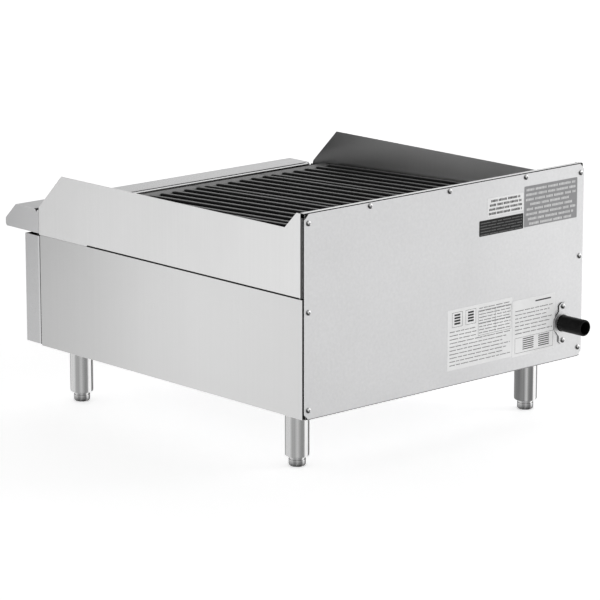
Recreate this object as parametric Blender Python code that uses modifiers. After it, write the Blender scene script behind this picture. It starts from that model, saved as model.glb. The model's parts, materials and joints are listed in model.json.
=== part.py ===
"""Countertop gas charbroiler, 24 in wide, as an assembly of separate solids.

A folded-sheet body stands on four legs with levelling feet. Four cast-iron grates lift off over
radiants and H burners, fed by a rear gas inlet, a manifold and two knob valves. A drip tray
slides out at the front. Metres, +Z up, +X to the operator's right and -Y to the front. The
origin lies on the counter, under the middle of the whole object.
"""

import math

import bmesh
import bpy
from mathutils import Matrix, Vector

MM = 0.001
GAP = 0.3 * MM
SHEET = 1.2 * MM

# Distances called "forward" are measured from the rear panel's outer face towards the operator.
HALF_WIDTH = 304.8 * MM
BULLNOSE_FORWARD = 735.0 * MM
PIPE_BEHIND = 51.5 * MM
REAR_FACE_Y = (BULLNOSE_FORWARD - PIPE_BEHIND) / 2

# Body
BODY_BOTTOM = 95.0 * MM
REAR_TOP = 413.2 * MM
GUARD_TOP = 414.3 * MM
EAR_TOP = 413.4 * MM
SIDE_TOP = 281.0 * MM
SIDE_FRONT = 643.0 * MM
SPLASH_FRONT = 646.0 * MM
SPLASH_TOP = 387.3 * MM
PANEL_FORWARD = 683.0 * MM
LEDGE_TOP = 323.5 * MM
CORNER_CUT = 8.5 * MM

# Cooking top: the grates fall gently towards the grease trough at the front.
GRATE_COUNT = 4
GRATE_WIDTH = 148.5 * MM
GRATE_PITCH = 149.7 * MM
GRATE_SLOPE = math.radians(2.53)
GRATE_REFERENCE = 600.0 * MM
GRATE_TOP_THERE = 329.5 * MM
BARS_PER_GRATE = 6
BAR_PITCH = 26.2 * MM
FIREBOX_HALF = 295.5 * MM
FIREBOX_BOTTOM = 182.0 * MM
SHELF_HEIGHT = 250.0 * MM

# Gas train
INLET_X = -258.8 * MM
PIPE_HEIGHT = 156.5 * MM
PIPE_RADIUS = 13.35 * MM
PIPE_BORE = 10.45 * MM
MANIFOLD_FORWARD = 660.0 * MM
BURNER_X = 150.0 * MM
BURNER_LEG_OFFSET = 75.0 * MM
BURNER_HEIGHT = 208.0 * MM
FEED_RADIUS = 16.0 * MM

# Tray, legs and fasteners
TRAY_HALF = 294.0 * MM
TRAY_BOTTOM = 98.8 * MM
TRAY_WALL_TOP = 139.0 * MM
TRAY_REAR = 30.0 * MM
LEG_X = 253.0 * MM
LEG_FORWARDS = {"rear": 73.6 * MM, "front": 604.5 * MM}
LEG_RADIUS = 19.05 * MM
LEG_BOTTOM = 15.8 * MM
FOOT_RADIUS = 13.5 * MM
SCREW_SHANK = 2.0 * MM
SCREW_HOLE = 2.4 * MM
PLATE_SCREW_OFFSET = 28.2 * MM

SIDES = {"left": -1, "right": 1}

# Turns: the columns are where the local X, Y and Z axes point.
FACING_SIDE = Matrix(((0, 0, -1), (-1, 0, 0), (0, 1, 0)))
FACING_REAR = Matrix(((1, 0, 0), (0, 0, -1), (0, 1, 0)))
UPRIGHT = Matrix.Identity(3)
POINTING_FRONT = Matrix.Rotation(math.radians(90), 3, "X")
POINTING_REAR = Matrix.Rotation(math.radians(-90), 3, "X")
POINTING_RIGHT = Matrix.Rotation(math.radians(90), 3, "Y")

# Finishes: colour, roughness, metallic
STAINLESS = ((0.66, 0.66, 0.67), 0.32, 1.0)
GALVANISED = ((0.72, 0.73, 0.74), 0.45, 1.0)
CAST_IRON = ((0.03, 0.03, 0.032), 0.7, 0.6)
BLACK_PIPE = ((0.02, 0.02, 0.02), 0.5, 0.3)
ALUMINISED = ((0.5, 0.5, 0.51), 0.5, 1.0)
BRASS = ((0.72, 0.52, 0.22), 0.35, 1.0)
ZINC = ((0.75, 0.75, 0.76), 0.25, 1.0)
PHENOLIC = ((0.015, 0.015, 0.016), 0.4, 0.0)


def clear_scene():
    for obj in list(bpy.data.objects):
        bpy.data.objects.remove(obj, do_unlink=True)


def new_collection(name):
    made = bpy.data.collections.new(name)
    bpy.context.scene.collection.children.link(made)
    return made


def at(x, forward, z):
    """The world point this far right, forward of the rear face and above the counter."""
    return Vector((x, REAR_FACE_Y - forward, z))


def mesh_object(name, bm, matrix=None):
    mesh = bpy.data.meshes.new(name)
    bm.to_mesh(mesh)
    bm.free()
    obj = bpy.data.objects.new(name, mesh)
    PARTS.objects.link(obj)
    if matrix is not None:
        obj.matrix_world = matrix
    return obj


def finish(obj, look):
    colour, roughness, metallic = look
    material = bpy.data.materials.new(obj.name + "_finish")
    material.use_nodes = True
    shader = material.node_tree.nodes["Principled BSDF"]
    shader.inputs["Base Color"].default_value = (*colour, 1.0)
    shader.inputs["Roughness"].default_value = roughness
    shader.inputs["Metallic"].default_value = metallic
    material.diffuse_color = (*colour, 1.0)
    obj.data.materials.clear()
    obj.data.materials.append(material)
    return obj


def smooth(obj, degrees=35):
    obj.data.shade_smooth()
    obj.data.set_sharp_from_angle(angle=math.radians(degrees))
    return obj


def placed(turn, where):
    return Matrix.Translation(where) @ turn.to_4x4()


def box(name, x_span, forward_span, z_span):
    bm = bmesh.new()
    bmesh.ops.create_cube(bm, size=1.0)
    low = at(x_span[0], forward_span[1], z_span[0])
    high = at(x_span[1], forward_span[0], z_span[1])
    bmesh.ops.scale(bm, vec=high - low, verts=bm.verts)
    bmesh.ops.translate(bm, vec=(low + high) / 2, verts=bm.verts)
    return mesh_object(name, bm)


def cylinder(name, radius, length, turn, middle, sides=24):
    bm = bmesh.new()
    bmesh.ops.create_cone(
        bm, cap_ends=True, segments=sides, radius1=radius, radius2=radius, depth=length
    )
    return mesh_object(name, bm, placed(turn, middle))


def solid_from_curve(guide, name):
    """A mesh object in place of a curve object, with the curve's caps welded to its sides."""
    bpy.context.view_layer.update()
    graph = bpy.context.evaluated_depsgraph_get()
    mesh = bpy.data.meshes.new_from_object(guide.evaluated_get(graph))
    matrix = guide.matrix_world.copy()
    bpy.data.objects.remove(guide, do_unlink=True)
    bm = bmesh.new()
    bm.from_mesh(mesh)
    bpy.data.meshes.remove(mesh)
    bmesh.ops.remove_doubles(bm, verts=bm.verts, dist=1e-6)
    bmesh.ops.recalc_face_normals(bm, faces=bm.faces)
    return mesh_object(name, bm, matrix)


def plate(name, outline, thickness, turn, middle):
    """A flat outline of this thickness, centred on the middle point's plane."""
    curve = bpy.data.curves.new(name, "CURVE")
    curve.dimensions = "2D"
    curve.fill_mode = "BOTH"
    curve.extrude = thickness / 2
    spline = curve.splines.new("POLY")
    spline.points.add(len(outline) - 1)
    for point, (along, up) in zip(spline.points, outline):
        point.co = (along, up, 0.0, 1.0)
    spline.use_cyclic_u = True
    guide = bpy.data.objects.new(name + "_outline", curve)
    PARTS.objects.link(guide)
    guide.matrix_world = placed(turn, middle)
    return solid_from_curve(guide, name)


def tube(name, route, radius, sides_resolution=3):
    """A round bar along a route of world points."""
    curve = bpy.data.curves.new(name, "CURVE")
    curve.dimensions = "3D"
    curve.bevel_depth = radius
    curve.bevel_resolution = sides_resolution
    curve.use_fill_caps = True
    spline = curve.splines.new("POLY")
    spline.points.add(len(route) - 1)
    for point, where in zip(spline.points, route):
        point.co = (*where, 1.0)
    guide = bpy.data.objects.new(name + "_route", curve)
    PARTS.objects.link(guide)
    return smooth(solid_from_curve(guide, name))


def turned(name, profile, where, turn=UPRIGHT, steps=20, closed=False):
    """A profile of (radius, height) points turned about its local Z axis."""
    bm = bmesh.new()
    points = [bm.verts.new((radius, 0.0, height)) for radius, height in profile]
    for first, second in zip(points, points[1:]):
        bm.edges.new((first, second))
    if closed:
        bm.edges.new((points[-1], points[0]))
    obj = mesh_object(name, bm, placed(turn, where))
    screw = obj.modifiers.new("turn", "SCREW")
    screw.axis = "Z"
    screw.steps = steps
    screw.render_steps = steps
    screw.use_merge_vertices = True
    screw.merge_threshold = 0.00001
    screw.use_smooth_shade = True
    return obj


def extruded_profile(profile, span, outward):
    """An open folded surface: a chain of edges pushed along span, its first face facing outward."""
    bm = bmesh.new()
    points = [bm.verts.new(point) for point in profile]
    edges = [bm.edges.new(pair) for pair in zip(points, points[1:])]
    pushed = bmesh.ops.extrude_edge_only(bm, edges=edges)["geom"]
    moved = [item for item in pushed if isinstance(item, bmesh.types.BMVert)]
    bmesh.ops.translate(bm, vec=span, verts=moved)
    bm.normal_update()
    if edges[0].link_faces[0].normal.dot(outward) < 0:
        bmesh.ops.reverse_faces(bm, faces=bm.faces)
    return bm


def open_trough(section, half_length, opened):
    """A prism on a (forward, z) section in mm, without the side faces that pass the test."""
    bm = bmesh.new()
    corners = [bm.verts.new(at(-half_length, forward * MM, z * MM)) for forward, z in section]
    pushed = bmesh.ops.extrude_face_region(bm, geom=[bm.faces.new(corners)])["geom"]
    moved = [item for item in pushed if isinstance(item, bmesh.types.BMVert)]
    bmesh.ops.translate(bm, vec=(2 * half_length, 0, 0), verts=moved)
    bmesh.ops.recalc_face_normals(bm, faces=bm.faces)
    bmesh.ops.delete(bm, geom=[f for f in bm.faces if opened(f)], context="FACES_ONLY")
    return bm


def fold_edges(bm, wanted, direction):
    """Folds a flange off each open edge whose two ends both pass the test."""
    edges = [e for e in bm.edges if e.is_boundary and all(wanted(v.co) for v in e.verts)]
    pushed = bmesh.ops.extrude_edge_only(bm, edges=edges)["geom"]
    moved = [item for item in pushed if isinstance(item, bmesh.types.BMVert)]
    bmesh.ops.translate(bm, vec=direction, verts=moved)


def thicken(obj, thickness=SHEET):
    """Sheet metal behind the modelled outer surface."""
    solidify = obj.modifiers.new("sheet", "SOLIDIFY")
    solidify.thickness = thickness
    solidify.offset = -1.0
    solidify.use_even_offset = True
    return obj


def boolean(obj, other, operation):
    """Cuts or joins another solid, which stays as a hidden helper."""
    PARTS.objects.unlink(other)
    HELPERS.objects.link(other)
    other.hide_render = True
    other.display_type = "WIRE"
    modifier = obj.modifiers.new(other.name, "BOOLEAN")
    modifier.operation = operation
    modifier.object = other
    return obj


def cut_again(obj, cutter):
    """Cuts with a helper that already cuts another part."""
    modifier = obj.modifiers.new(cutter.name, "BOOLEAN")
    modifier.operation = "DIFFERENCE"
    modifier.object = cutter


def baked(obj):
    """The object with its modifiers built into its mesh, so that copies can share it."""
    bpy.context.view_layer.update()
    graph = bpy.context.evaluated_depsgraph_get()
    mesh = bpy.data.meshes.new_from_object(obj.evaluated_get(graph))
    obj.modifiers.clear()
    obj.data = mesh
    return obj


def arc(centre, radius, start, end, steps):
    """Points on an arc in a plane, angles in degrees."""
    angles = [math.radians(start + (end - start) * i / steps) for i in range(steps + 1)]
    return [(centre[0] + radius * math.cos(a), centre[1] + radius * math.sin(a)) for a in angles]


def chamfered_rectangle(left, right, bottom, top, cut):
    return [
        (left + cut, bottom),
        (right - cut, bottom),
        (right, bottom + cut),
        (right, top - cut),
        (right - cut, top),
        (left + cut, top),
        (left, top - cut),
        (left, bottom + cut),
    ]


def rear_screw_places():
    """The pan-head screws of the rear panel: three down each side and three along the top."""
    edge_x, top_x = 297.0 * MM, 170.0 * MM
    places = [(side * edge_x, z) for side in (-1, 1) for z in (399.0 * MM, 262.0 * MM, 110.0 * MM)]
    return places + [(x, 408.2 * MM) for x in (-top_x, 0.0, top_x)]


def make_side_panel(name, side):
    """The lower side: a web with a stepped rear flange behind a rounded bend, and two hems."""
    bend, step_face, flange_face = 2.0 * MM, 6.0 * MM, 1.5 * MM
    step_wall = HALF_WIDTH - 3.2 * MM
    plan = [(HALF_WIDTH, SIDE_FRONT), (HALF_WIDTH, 14 * MM)]
    plan += arc((HALF_WIDTH - bend, step_face + bend), bend, 0, -90, 3)
    plan += [(step_wall, step_face), (step_wall, flange_face), (286 * MM, flange_face)]
    profile = [at(side * x, forward, BODY_BOTTOM) for x, forward in plan]
    height = SIDE_TOP - BODY_BOTTOM
    bm = extruded_profile(profile, Vector((0, 0, height)), Vector((side, 0, 0)))
    web_end = at(0, 13.5 * MM, 0).y
    fold_edges(
        bm,
        lambda co: co.y < web_end and co.z > SIDE_TOP - GAP,
        Vector((-side * 4.5 * MM, 0, 0)),
    )
    fold_edges(
        bm,
        lambda co: co.y < web_end and co.z < BODY_BOTTOM + GAP,
        Vector((-side * 12 * MM, 0, 0)),
    )
    return finish(smooth(thicken(mesh_object(name, bm))), STAINLESS)


def make_side_splash(name, side):
    """The upper side guard: one flat sheet with a raised ear behind and a raked front corner."""
    bottom, seam = 283.6 * MM, SIDE_TOP + GAP
    nose_radius, nose_height = 8 * MM, 323.6 * MM
    nose = arc((SPLASH_FRONT - nose_radius, nose_height), nose_radius, 45, 0, 3)
    outline = [
        (9.7 * MM, bottom),
        (520 * MM, bottom),
        (522 * MM, seam),
        (SPLASH_FRONT, seam),
        *reversed(nose),
        (585 * MM, SPLASH_TOP),
        (45 * MM, SPLASH_TOP),
        (18.7 * MM, EAR_TOP),
        (9.7 * MM, EAR_TOP),
    ]
    middle = at(side * (HALF_WIDTH - SHEET / 2), 0, 0)
    return finish(plate(name, outline, SHEET, FACING_SIDE, middle), STAINLESS)


def make_rear_panel():
    """The flat back with cut corners, its screw holes and the hole for the gas inlet."""
    outline = chamfered_rectangle(-HALF_WIDTH, HALF_WIDTH, BODY_BOTTOM, REAR_TOP, CORNER_CUT)
    panel = plate("rear_panel", outline, SHEET, FACING_REAR, at(0, SHEET / 2, 0))
    inlet = at(INLET_X, 0, PIPE_HEIGHT)
    boolean(panel, cylinder("inlet_hole", 15 * MM, 10 * MM, POINTING_REAR, inlet), "DIFFERENCE")
    return finish(panel, GALVANISED)


def make_rear_splash():
    """The back guard and firebox back: one sheet folded over the top and down behind the panel."""
    half = HALF_WIDTH - SHEET - 0.4 * MM
    wall, flange, bend = 13.5 * MM, 1.5 * MM, 2.4 * MM
    hem_bottom, hem_top = 283.6 * MM, 406 * MM
    side_view = [(wall, FIREBOX_BOTTOM), (wall, hem_bottom), (wall, hem_top)]
    side_view += arc((wall - bend, GUARD_TOP - bend), bend, 0, 90, 3)
    side_view += arc((flange + bend, GUARD_TOP - bend), bend, 90, 180, 3)
    side_view.append((flange, 390 * MM))
    profile = [at(-half, forward, z) for forward, z in side_view]
    bm = extruded_profile(profile, Vector((2 * half, 0, 0)), Vector((0, -1, 0)))
    wall_y = at(0, 13.4 * MM, 0).y
    for side in SIDES.values():
        fold_edges(
            bm,
            lambda co: co.x * side > half - GAP
            and co.y < wall_y
            and hem_bottom - GAP < co.z < hem_top + GAP,
            Vector((0, 8 * MM, 0)),
        )
    return finish(smooth(thicken(mesh_object("rear_splash", bm))), STAINLESS)


def drill_rear_screws(rear_panel, rear_splash, side_panels):
    """Each screw hole goes through the rear panel and the flange behind it."""
    for index, (x, z) in enumerate(rear_screw_places(), start=1):
        where = at(x, 0, z)
        cutter = cylinder(f"rear_screw_hole_{index}", SCREW_HOLE, 12 * MM, POINTING_REAR, where, 10)
        boolean(rear_panel, cutter, "DIFFERENCE")
        behind = rear_splash if z > SIDE_TOP else side_panels["left" if x < 0 else "right"]
        cut_again(behind, cutter)


def make_screw(name, where):
    """A domed pan-head screw driven from behind."""
    head, rise, shank_end = 4.3 * MM, 2.6 * MM, -5.5 * MM
    profile = [(0.0, rise)]
    profile += [(head * math.sin(a), rise * math.cos(a)) for a in (0.5, 1.0, 1.4)]
    profile += [(head, 0.0), (SCREW_SHANK, 0.0), (SCREW_SHANK, shank_end), (0.0, shank_end)]
    return finish(turned(name, profile, where, POINTING_REAR, steps=12), ZINC)


def make_front_ledge():
    """The bullnose shelf: a folded shell, open behind, whose end plates reach the splashes."""
    section = [(657.5, 300.0), (657.5, LEDGE_TOP / MM), (707.0, LEDGE_TOP / MM), (735.0, 297.0)]
    section += [(735.0, 286.5), (732.0, 283.5), (652.0, 283.5)]
    back_y = at(0, 658 * MM, 0).y
    bm = open_trough(
        section,
        HALF_WIDTH,
        lambda f: all(v.co.y > back_y for v in f.verts) and f.normal.z > 0.1,
    )
    ledge = thicken(mesh_object("front_ledge", bm))
    back = SPLASH_FRONT / MM + 0.3
    end_plate = [(back, 283.5), (665.0, 283.5), (665.0, 322.0), (656.0, 322.0)]
    end_plate += [(654.5, 319.0), (651.5, 319.0), (650.0, 322.0), (back, 322.0)]
    outline = [(forward * MM, z * MM) for forward, z in end_plate]
    for side_name, side in SIDES.items():
        middle = at(side * (HALF_WIDTH - SHEET / 2), 0, 0)
        end = plate(f"{side_name}_ledge_end", outline, SHEET, FACING_SIDE, middle)
        boolean(ledge, end, "UNION")
    return finish(ledge, STAINLESS)


def make_control_panel():
    """The front panel with its side returns, a low cut-out for the tray and two stem holes."""
    back, bottom, top = SIDE_FRONT + 0.5 * MM, 97 * MM, 279 * MM
    plan = [(HALF_WIDTH, back), (HALF_WIDTH, PANEL_FORWARD)]
    plan += [(-HALF_WIDTH, PANEL_FORWARD), (-HALF_WIDTH, back)]
    profile = [at(x, forward, bottom) for x, forward in plan]
    bm = extruded_profile(profile, Vector((0, 0, top - bottom)), Vector((1, 0, 0)))
    panel = thicken(mesh_object("control_panel", bm))
    slot_half, slot_top = 296.8 * MM, 147.5 * MM
    span = (PANEL_FORWARD - 10 * MM, PANEL_FORWARD + 10 * MM)
    slot = box("tray_cut_out", (-slot_half, slot_half), span, (80 * MM, slot_top))
    boolean(panel, slot, "DIFFERENCE")
    for side_name, side in SIDES.items():
        where = at(side * BURNER_X, PANEL_FORWARD, BURNER_HEIGHT)
        hole = cylinder(f"stem_hole_{side_name}", 8 * MM, 20 * MM, POINTING_FRONT, where, 16)
        boolean(panel, hole, "DIFFERENCE")
    return finish(panel, STAINLESS)


def make_base_rail(name, side):
    """A heavy angle along the bottom: it carries the legs, and the drip tray runs on it."""
    steel = 2 * MM
    section = [(225 * MM, 98.5 * MM), (301.1 * MM, 98.5 * MM), (301.1 * MM, 140 * MM)]
    profile = [at(side * x, 8 * MM, z) for x, z in section]
    bm = extruded_profile(profile, Vector((0, -632 * MM, 0)), Vector((0, 0, 1)))
    return finish(thicken(mesh_object(name, bm), steel), GALVANISED)


def make_firebox_liner(name, side):
    """The inner side wall: its top follows the grates down, its foot is turned out."""
    section = [(303.0, FIREBOX_BOTTOM / MM), (296.0, FIREBOX_BOTTOM / MM), (296.0, 327.0)]
    profile = [at(side * x * MM, 15 * MM, z * MM) for x, z in section]
    bm = extruded_profile(profile, Vector((0, -625 * MM, 0)), Vector((0, 0, -1)))
    middle_y = at(0, 300 * MM, 0).y
    for vert in bm.verts:
        if vert.co.y < middle_y and vert.co.z > 300 * MM:
            vert.co.z = 301 * MM
    return finish(thicken(mesh_object(name, bm)), ALUMINISED)


def make_firebox_front_wall():
    """The wall behind the controls, with holes for the burner necks and pilot tubes."""
    span = (597.5 * MM, 597.5 * MM + SHEET)
    wall = box("firebox_front_wall", (-FIREBOX_HALF, FIREBOX_HALF), span, (FIREBOX_BOTTOM, 304.4 * MM))
    for side_name, side in SIDES.items():
        neck = at(side * BURNER_X, span[0], BURNER_HEIGHT)
        hole = cylinder(f"neck_hole_{side_name}", 17.5 * MM, 20 * MM, POINTING_FRONT, neck)
        boolean(wall, hole, "DIFFERENCE")
        pilot = at(side * 112 * MM, span[0], 196 * MM)
        hole = cylinder(f"pilot_hole_{side_name}", 4.5 * MM, 20 * MM, POINTING_FRONT, pilot, 12)
        boolean(wall, hole, "DIFFERENCE")
    return finish(wall, ALUMINISED)


def make_grate_rail(name, section):
    """A folded rail: its upper shelf carries the grates, its lower shelf the radiants."""
    profile = [at(-FIREBOX_HALF, forward * MM, z * MM) for forward, z in section]
    bm = extruded_profile(profile, Vector((2 * FIREBOX_HALF, 0, 0)), Vector((0, 0, 1)))
    return finish(thicken(mesh_object(name, bm)), ALUMINISED)


def make_grease_trough():
    """The gutter under the grates' front ends, with a front lip and a drain hole."""
    lip_top = 322.8 * MM
    section = [(648.0, lip_top / MM), (648.0, 288.0), (617.0, 286.0), (617.0, 303.0)]
    bm = open_trough(section, FIREBOX_HALF, lambda f: f.normal.z > 0.5)
    trough = thicken(mesh_object("grease_trough", bm))
    lip_span = (647 * MM, 654 * MM)
    lip = box("trough_lip", (-FIREBOX_HALF, FIREBOX_HALF), lip_span, (lip_top - SHEET, lip_top))
    boolean(trough, lip, "UNION")
    where = at(0, 632 * MM, 286 * MM)
    boolean(trough, cylinder("drain_hole", 9 * MM, 12 * MM, UPRIGHT, where, 20), "DIFFERENCE")
    return finish(trough, STAINLESS)


def grate_block(name, x_middle, width, y_span, z_span, foot_width=None):
    """A block of the casting in the grate's own frame, tapered to foot_width at its underside."""
    bm = bmesh.new()
    bmesh.ops.create_cube(bm, size=1.0)
    size = Vector((width, y_span[1] - y_span[0], z_span[1] - z_span[0]))
    bmesh.ops.scale(bm, vec=size, verts=bm.verts)
    if foot_width is not None:
        under = [v for v in bm.verts if v.co.z < 0]
        bmesh.ops.scale(bm, vec=(foot_width / width, 1, 1), verts=under)
    middle = Vector((x_middle, sum(y_span) / 2, sum(z_span) / 2))
    bmesh.ops.translate(bm, vec=middle, verts=bm.verts)
    return mesh_object(name, bm)


def make_grate_casting():
    """One grate: six tapered bars, a broad front rim, a rear rim, cross ribs and seat ribs."""
    front, rear = -18.0 * MM, 555.0 * MM
    whole = GRATE_WIDTH
    grate = grate_block("grate_casting", 0, whole, (front, 14 * MM), (-10 * MM, -2 * MM))
    pieces = [grate_block("rear_rim", 0, whole, (rear - 14 * MM, rear), (-14 * MM, -1 * MM))]
    for index in range(BARS_PER_GRATE):
        x = (index - (BARS_PER_GRATE - 1) / 2) * BAR_PITCH
        span = (10 * MM, rear - 4 * MM)
        bar = grate_block(f"bar_{index}", x, 9 * MM, span, (-17 * MM, 0), foot_width=6 * MM)
        pieces.append(bar)
    for index, y in enumerate((150 * MM, 280 * MM, 410 * MM)):
        span = (y - 4 * MM, y + 4 * MM)
        pieces.append(grate_block(f"rib_{index}", 0, whole - 4 * MM, span, (-20 * MM, -13 * MM)))
    front_seat, rear_seat = (-9 * MM, 1 * MM), (rear - 12 * MM, rear - 2 * MM)
    pieces.append(grate_block("front_seat", 0, whole - 8 * MM, front_seat, (-22 * MM, -8 * MM)))
    pieces.append(grate_block("rear_seat", 0, whole - 8 * MM, rear_seat, (-22 * MM, -12 * MM)))
    for piece in pieces:
        boolean(grate, piece, "UNION")
    return baked(grate)


def make_grates():
    """The four lift-off grates, left to right, all on one casting."""
    casting = make_grate_casting()
    for index in range(GRATE_COUNT):
        x = (index - (GRATE_COUNT - 1) / 2) * GRATE_PITCH
        grate = bpy.data.objects.new(f"grate_{index + 1}", casting.data.copy())
        PARTS.objects.link(grate)
        grate.location = at(x, GRATE_REFERENCE, GRATE_TOP_THERE)
        grate.rotation_euler = (GRATE_SLOPE, 0, 0)
        finish(grate, CAST_IRON)
    bpy.data.objects.remove(casting, do_unlink=True)


def make_radiants():
    """Inverted troughs over the burner legs, each standing on the two lower shelves."""
    iron, half_base, half_top = 4 * MM, 60 * MM, 22 * MM
    foot, crown = SHELF_HEIGHT + GAP + 0.75 * iron, 288 * MM
    section = [(-half_base, foot), (-half_top, crown), (half_top, crown), (half_base, foot)]
    for index in range(GRATE_COUNT):
        middle = (index - (GRATE_COUNT - 1) / 2) * 2 * BURNER_LEG_OFFSET
        profile = [at(middle + x, 63 * MM, z) for x, z in section]
        bm = extruded_profile(profile, Vector((0, -531 * MM, 0)), Vector((-1, 0, 0)))
        finish(thicken(mesh_object(f"radiant_{index + 1}", bm), iron), CAST_IRON)


def make_burner(name, side):
    """An H burner: two long legs, a crossbar and a feed neck with an open mouth."""
    leg, cross = 19 * MM, 17 * MM
    middle = side * BURNER_X
    crossbar_forward = 330 * MM
    front, rear = 580 * MM, 85 * MM
    where = at(middle - BURNER_LEG_OFFSET, (front + rear) / 2, BURNER_HEIGHT)
    burner = cylinder(name, leg, front - rear, POINTING_REAR, where, 20)
    where = at(middle + BURNER_LEG_OFFSET, (front + rear) / 2, BURNER_HEIGHT)
    boolean(burner, cylinder(name + "_leg", leg, front - rear, POINTING_REAR, where, 20), "UNION")
    where = at(middle, crossbar_forward, BURNER_HEIGHT)
    bar = cylinder(name + "_bar", cross, 2 * BURNER_LEG_OFFSET, POINTING_RIGHT, where, 18)
    boolean(burner, bar, "UNION")
    mouth = 625 * MM
    where = at(middle, (mouth + crossbar_forward) / 2, BURNER_HEIGHT)
    neck = cylinder(
        name + "_neck", FEED_RADIUS, mouth - crossbar_forward, POINTING_REAR, where, 24
    )
    boolean(burner, neck, "UNION")
    where = at(middle, mouth, BURNER_HEIGHT)
    boolean(burner, cylinder(name + "_bore", 13 * MM, 120 * MM, POINTING_REAR, where), "DIFFERENCE")
    return finish(smooth(burner), STAINLESS)


def make_air_shutter(name, side):
    """A sleeve with two windows that turns on the burner neck to set the air."""
    inner, outer, half = 17.0 * MM, 18.8 * MM, 12 * MM
    profile = [(inner, half), (outer, half), (outer, -half), (inner, -half)]
    where = at(side * BURNER_X, 615 * MM, BURNER_HEIGHT)
    sleeve = turned(name, profile, where, POINTING_FRONT, steps=32, closed=True)
    window = box(
        name + "_window",
        (side * BURNER_X - 30 * MM, side * BURNER_X + 30 * MM),
        (611 * MM, 621 * MM),
        (BURNER_HEIGHT - 7 * MM, BURNER_HEIGHT + 7 * MM),
    )
    boolean(sleeve, window, "DIFFERENCE")
    return finish(sleeve, ZINC)


def make_orifice(name, side):
    """The brass hood that points its jet into the burner's mouth."""
    profile = [(0.0, 0.0), (3.0, 0.0), (6.0, -6.0), (6.0, -12.0), (8.0, -12.0), (8.0, -22.0)]
    profile.append((0.0, -22.0))
    scaled = [(radius * MM, height * MM) for radius, height in profile]
    where = at(side * BURNER_X, 628 * MM, BURNER_HEIGHT)
    return finish(turned(name, scaled, where, POINTING_REAR, steps=12), BRASS)


def make_valve(name, side):
    """A gas cock: a block on a riser from the manifold, with its neck and stem to the front."""
    middle = side * BURNER_X
    back = 650.3 * MM
    body = box(
        name,
        (middle - 14 * MM, middle + 14 * MM),
        (back, 672 * MM),
        (BURNER_HEIGHT - 13 * MM, BURNER_HEIGHT + 13 * MM),
    )
    low = PIPE_HEIGHT + PIPE_RADIUS + GAP
    high = BURNER_HEIGHT - 10 * MM
    riser = cylinder(
        name + "_riser", 8 * MM, high - low, UPRIGHT, at(middle, 660 * MM, (high + low) / 2), 16
    )
    boolean(body, riser, "UNION")
    neck = cylinder(
        name + "_neck", 10 * MM, 12 * MM, POINTING_FRONT, at(middle, 675.3 * MM, BURNER_HEIGHT), 16
    )
    boolean(body, neck, "UNION")
    stem = cylinder(
        name + "_stem", 4 * MM, 32 * MM, POINTING_FRONT, at(middle, 684 * MM, BURNER_HEIGHT), 16
    )
    boolean(body, stem, "UNION")
    return finish(body, BRASS)


def make_knob(name, side):
    """A round skirt with a raised grip bar, bored from behind for the valve stem."""
    profile = [(0.0, 17.0), (17.0, 17.0), (19.5, 15.0), (21.0, 4.0), (24.0, 3.0), (24.0, 0.0)]
    profile.append((0.0, 0.0))
    scaled = [(radius * MM, height * MM) for radius, height in profile]
    base = 685.5 * MM
    where = at(side * BURNER_X, base, BURNER_HEIGHT)
    knob = turned(name, scaled, where, POINTING_FRONT, steps=28)
    grip = box(
        name + "_grip",
        (side * BURNER_X - 6 * MM, side * BURNER_X + 6 * MM),
        (base + 10 * MM, base + 33 * MM),
        (BURNER_HEIGHT - 19 * MM, BURNER_HEIGHT + 19 * MM),
    )
    boolean(knob, grip, "UNION")
    bore = cylinder(name + "_bore", 4.5 * MM, 34 * MM, POINTING_FRONT, where, 16)
    boolean(knob, bore, "DIFFERENCE")
    return finish(knob, PHENOLIC)


def make_pilot(name, side):
    """A thin pilot tube that ends beside the burner leg."""
    x = side * 112 * MM
    route = [at(x, 645 * MM, 196 * MM), at(x, 562 * MM, 196 * MM)]
    route += [at(x, 553 * MM, 200 * MM), at(x, 549 * MM, 208 * MM), at(x, 549 * MM, 224 * MM)]
    return finish(tube(name, route, 3 * MM, 2), ALUMINISED)


def make_manifold_pipe():
    """The cross pipe behind the control panel, capped at its far end."""
    start, end = INLET_X + 27 * MM, 190 * MM
    where = at((start + end) / 2, MANIFOLD_FORWARD, PIPE_HEIGHT)
    pipe = cylinder("manifold_pipe", PIPE_RADIUS, end - start, POINTING_RIGHT, where, 20)
    return finish(smooth(pipe), BLACK_PIPE)


def make_supply_pipe():
    """The run from the inlet along the left side, with one elbow into the manifold."""
    bend = 20 * MM
    centre = (INLET_X + bend, MANIFOLD_FORWARD - bend)
    elbow = arc(centre, bend, 180, 90, 6)
    plan = [(INLET_X, 4 * MM)] + elbow + [(INLET_X + 26.7 * MM, MANIFOLD_FORWARD)]
    route = [at(x, forward, PIPE_HEIGHT) for x, forward in plan]
    return finish(tube("supply_pipe", route, PIPE_RADIUS), BLACK_PIPE)


def make_gas_inlet_pipe():
    """The 3/4 in pipe end behind the rear panel, open at its end."""
    inner_end = 3.5 * MM
    length = inner_end + PIPE_BEHIND
    round_off = 1.2 * MM
    profile = [
        (0.0, 10 * MM),
        (PIPE_BORE, 10 * MM),
        (PIPE_BORE, length),
        (PIPE_RADIUS - round_off, length),
        (PIPE_RADIUS, length - round_off),
        (PIPE_RADIUS, 0.0),
        (0.0, 0.0),
    ]
    where = at(INLET_X, inner_end, PIPE_HEIGHT)
    return finish(turned("gas_inlet_pipe", profile, where, POINTING_REAR, steps=28), BLACK_PIPE)


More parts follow.
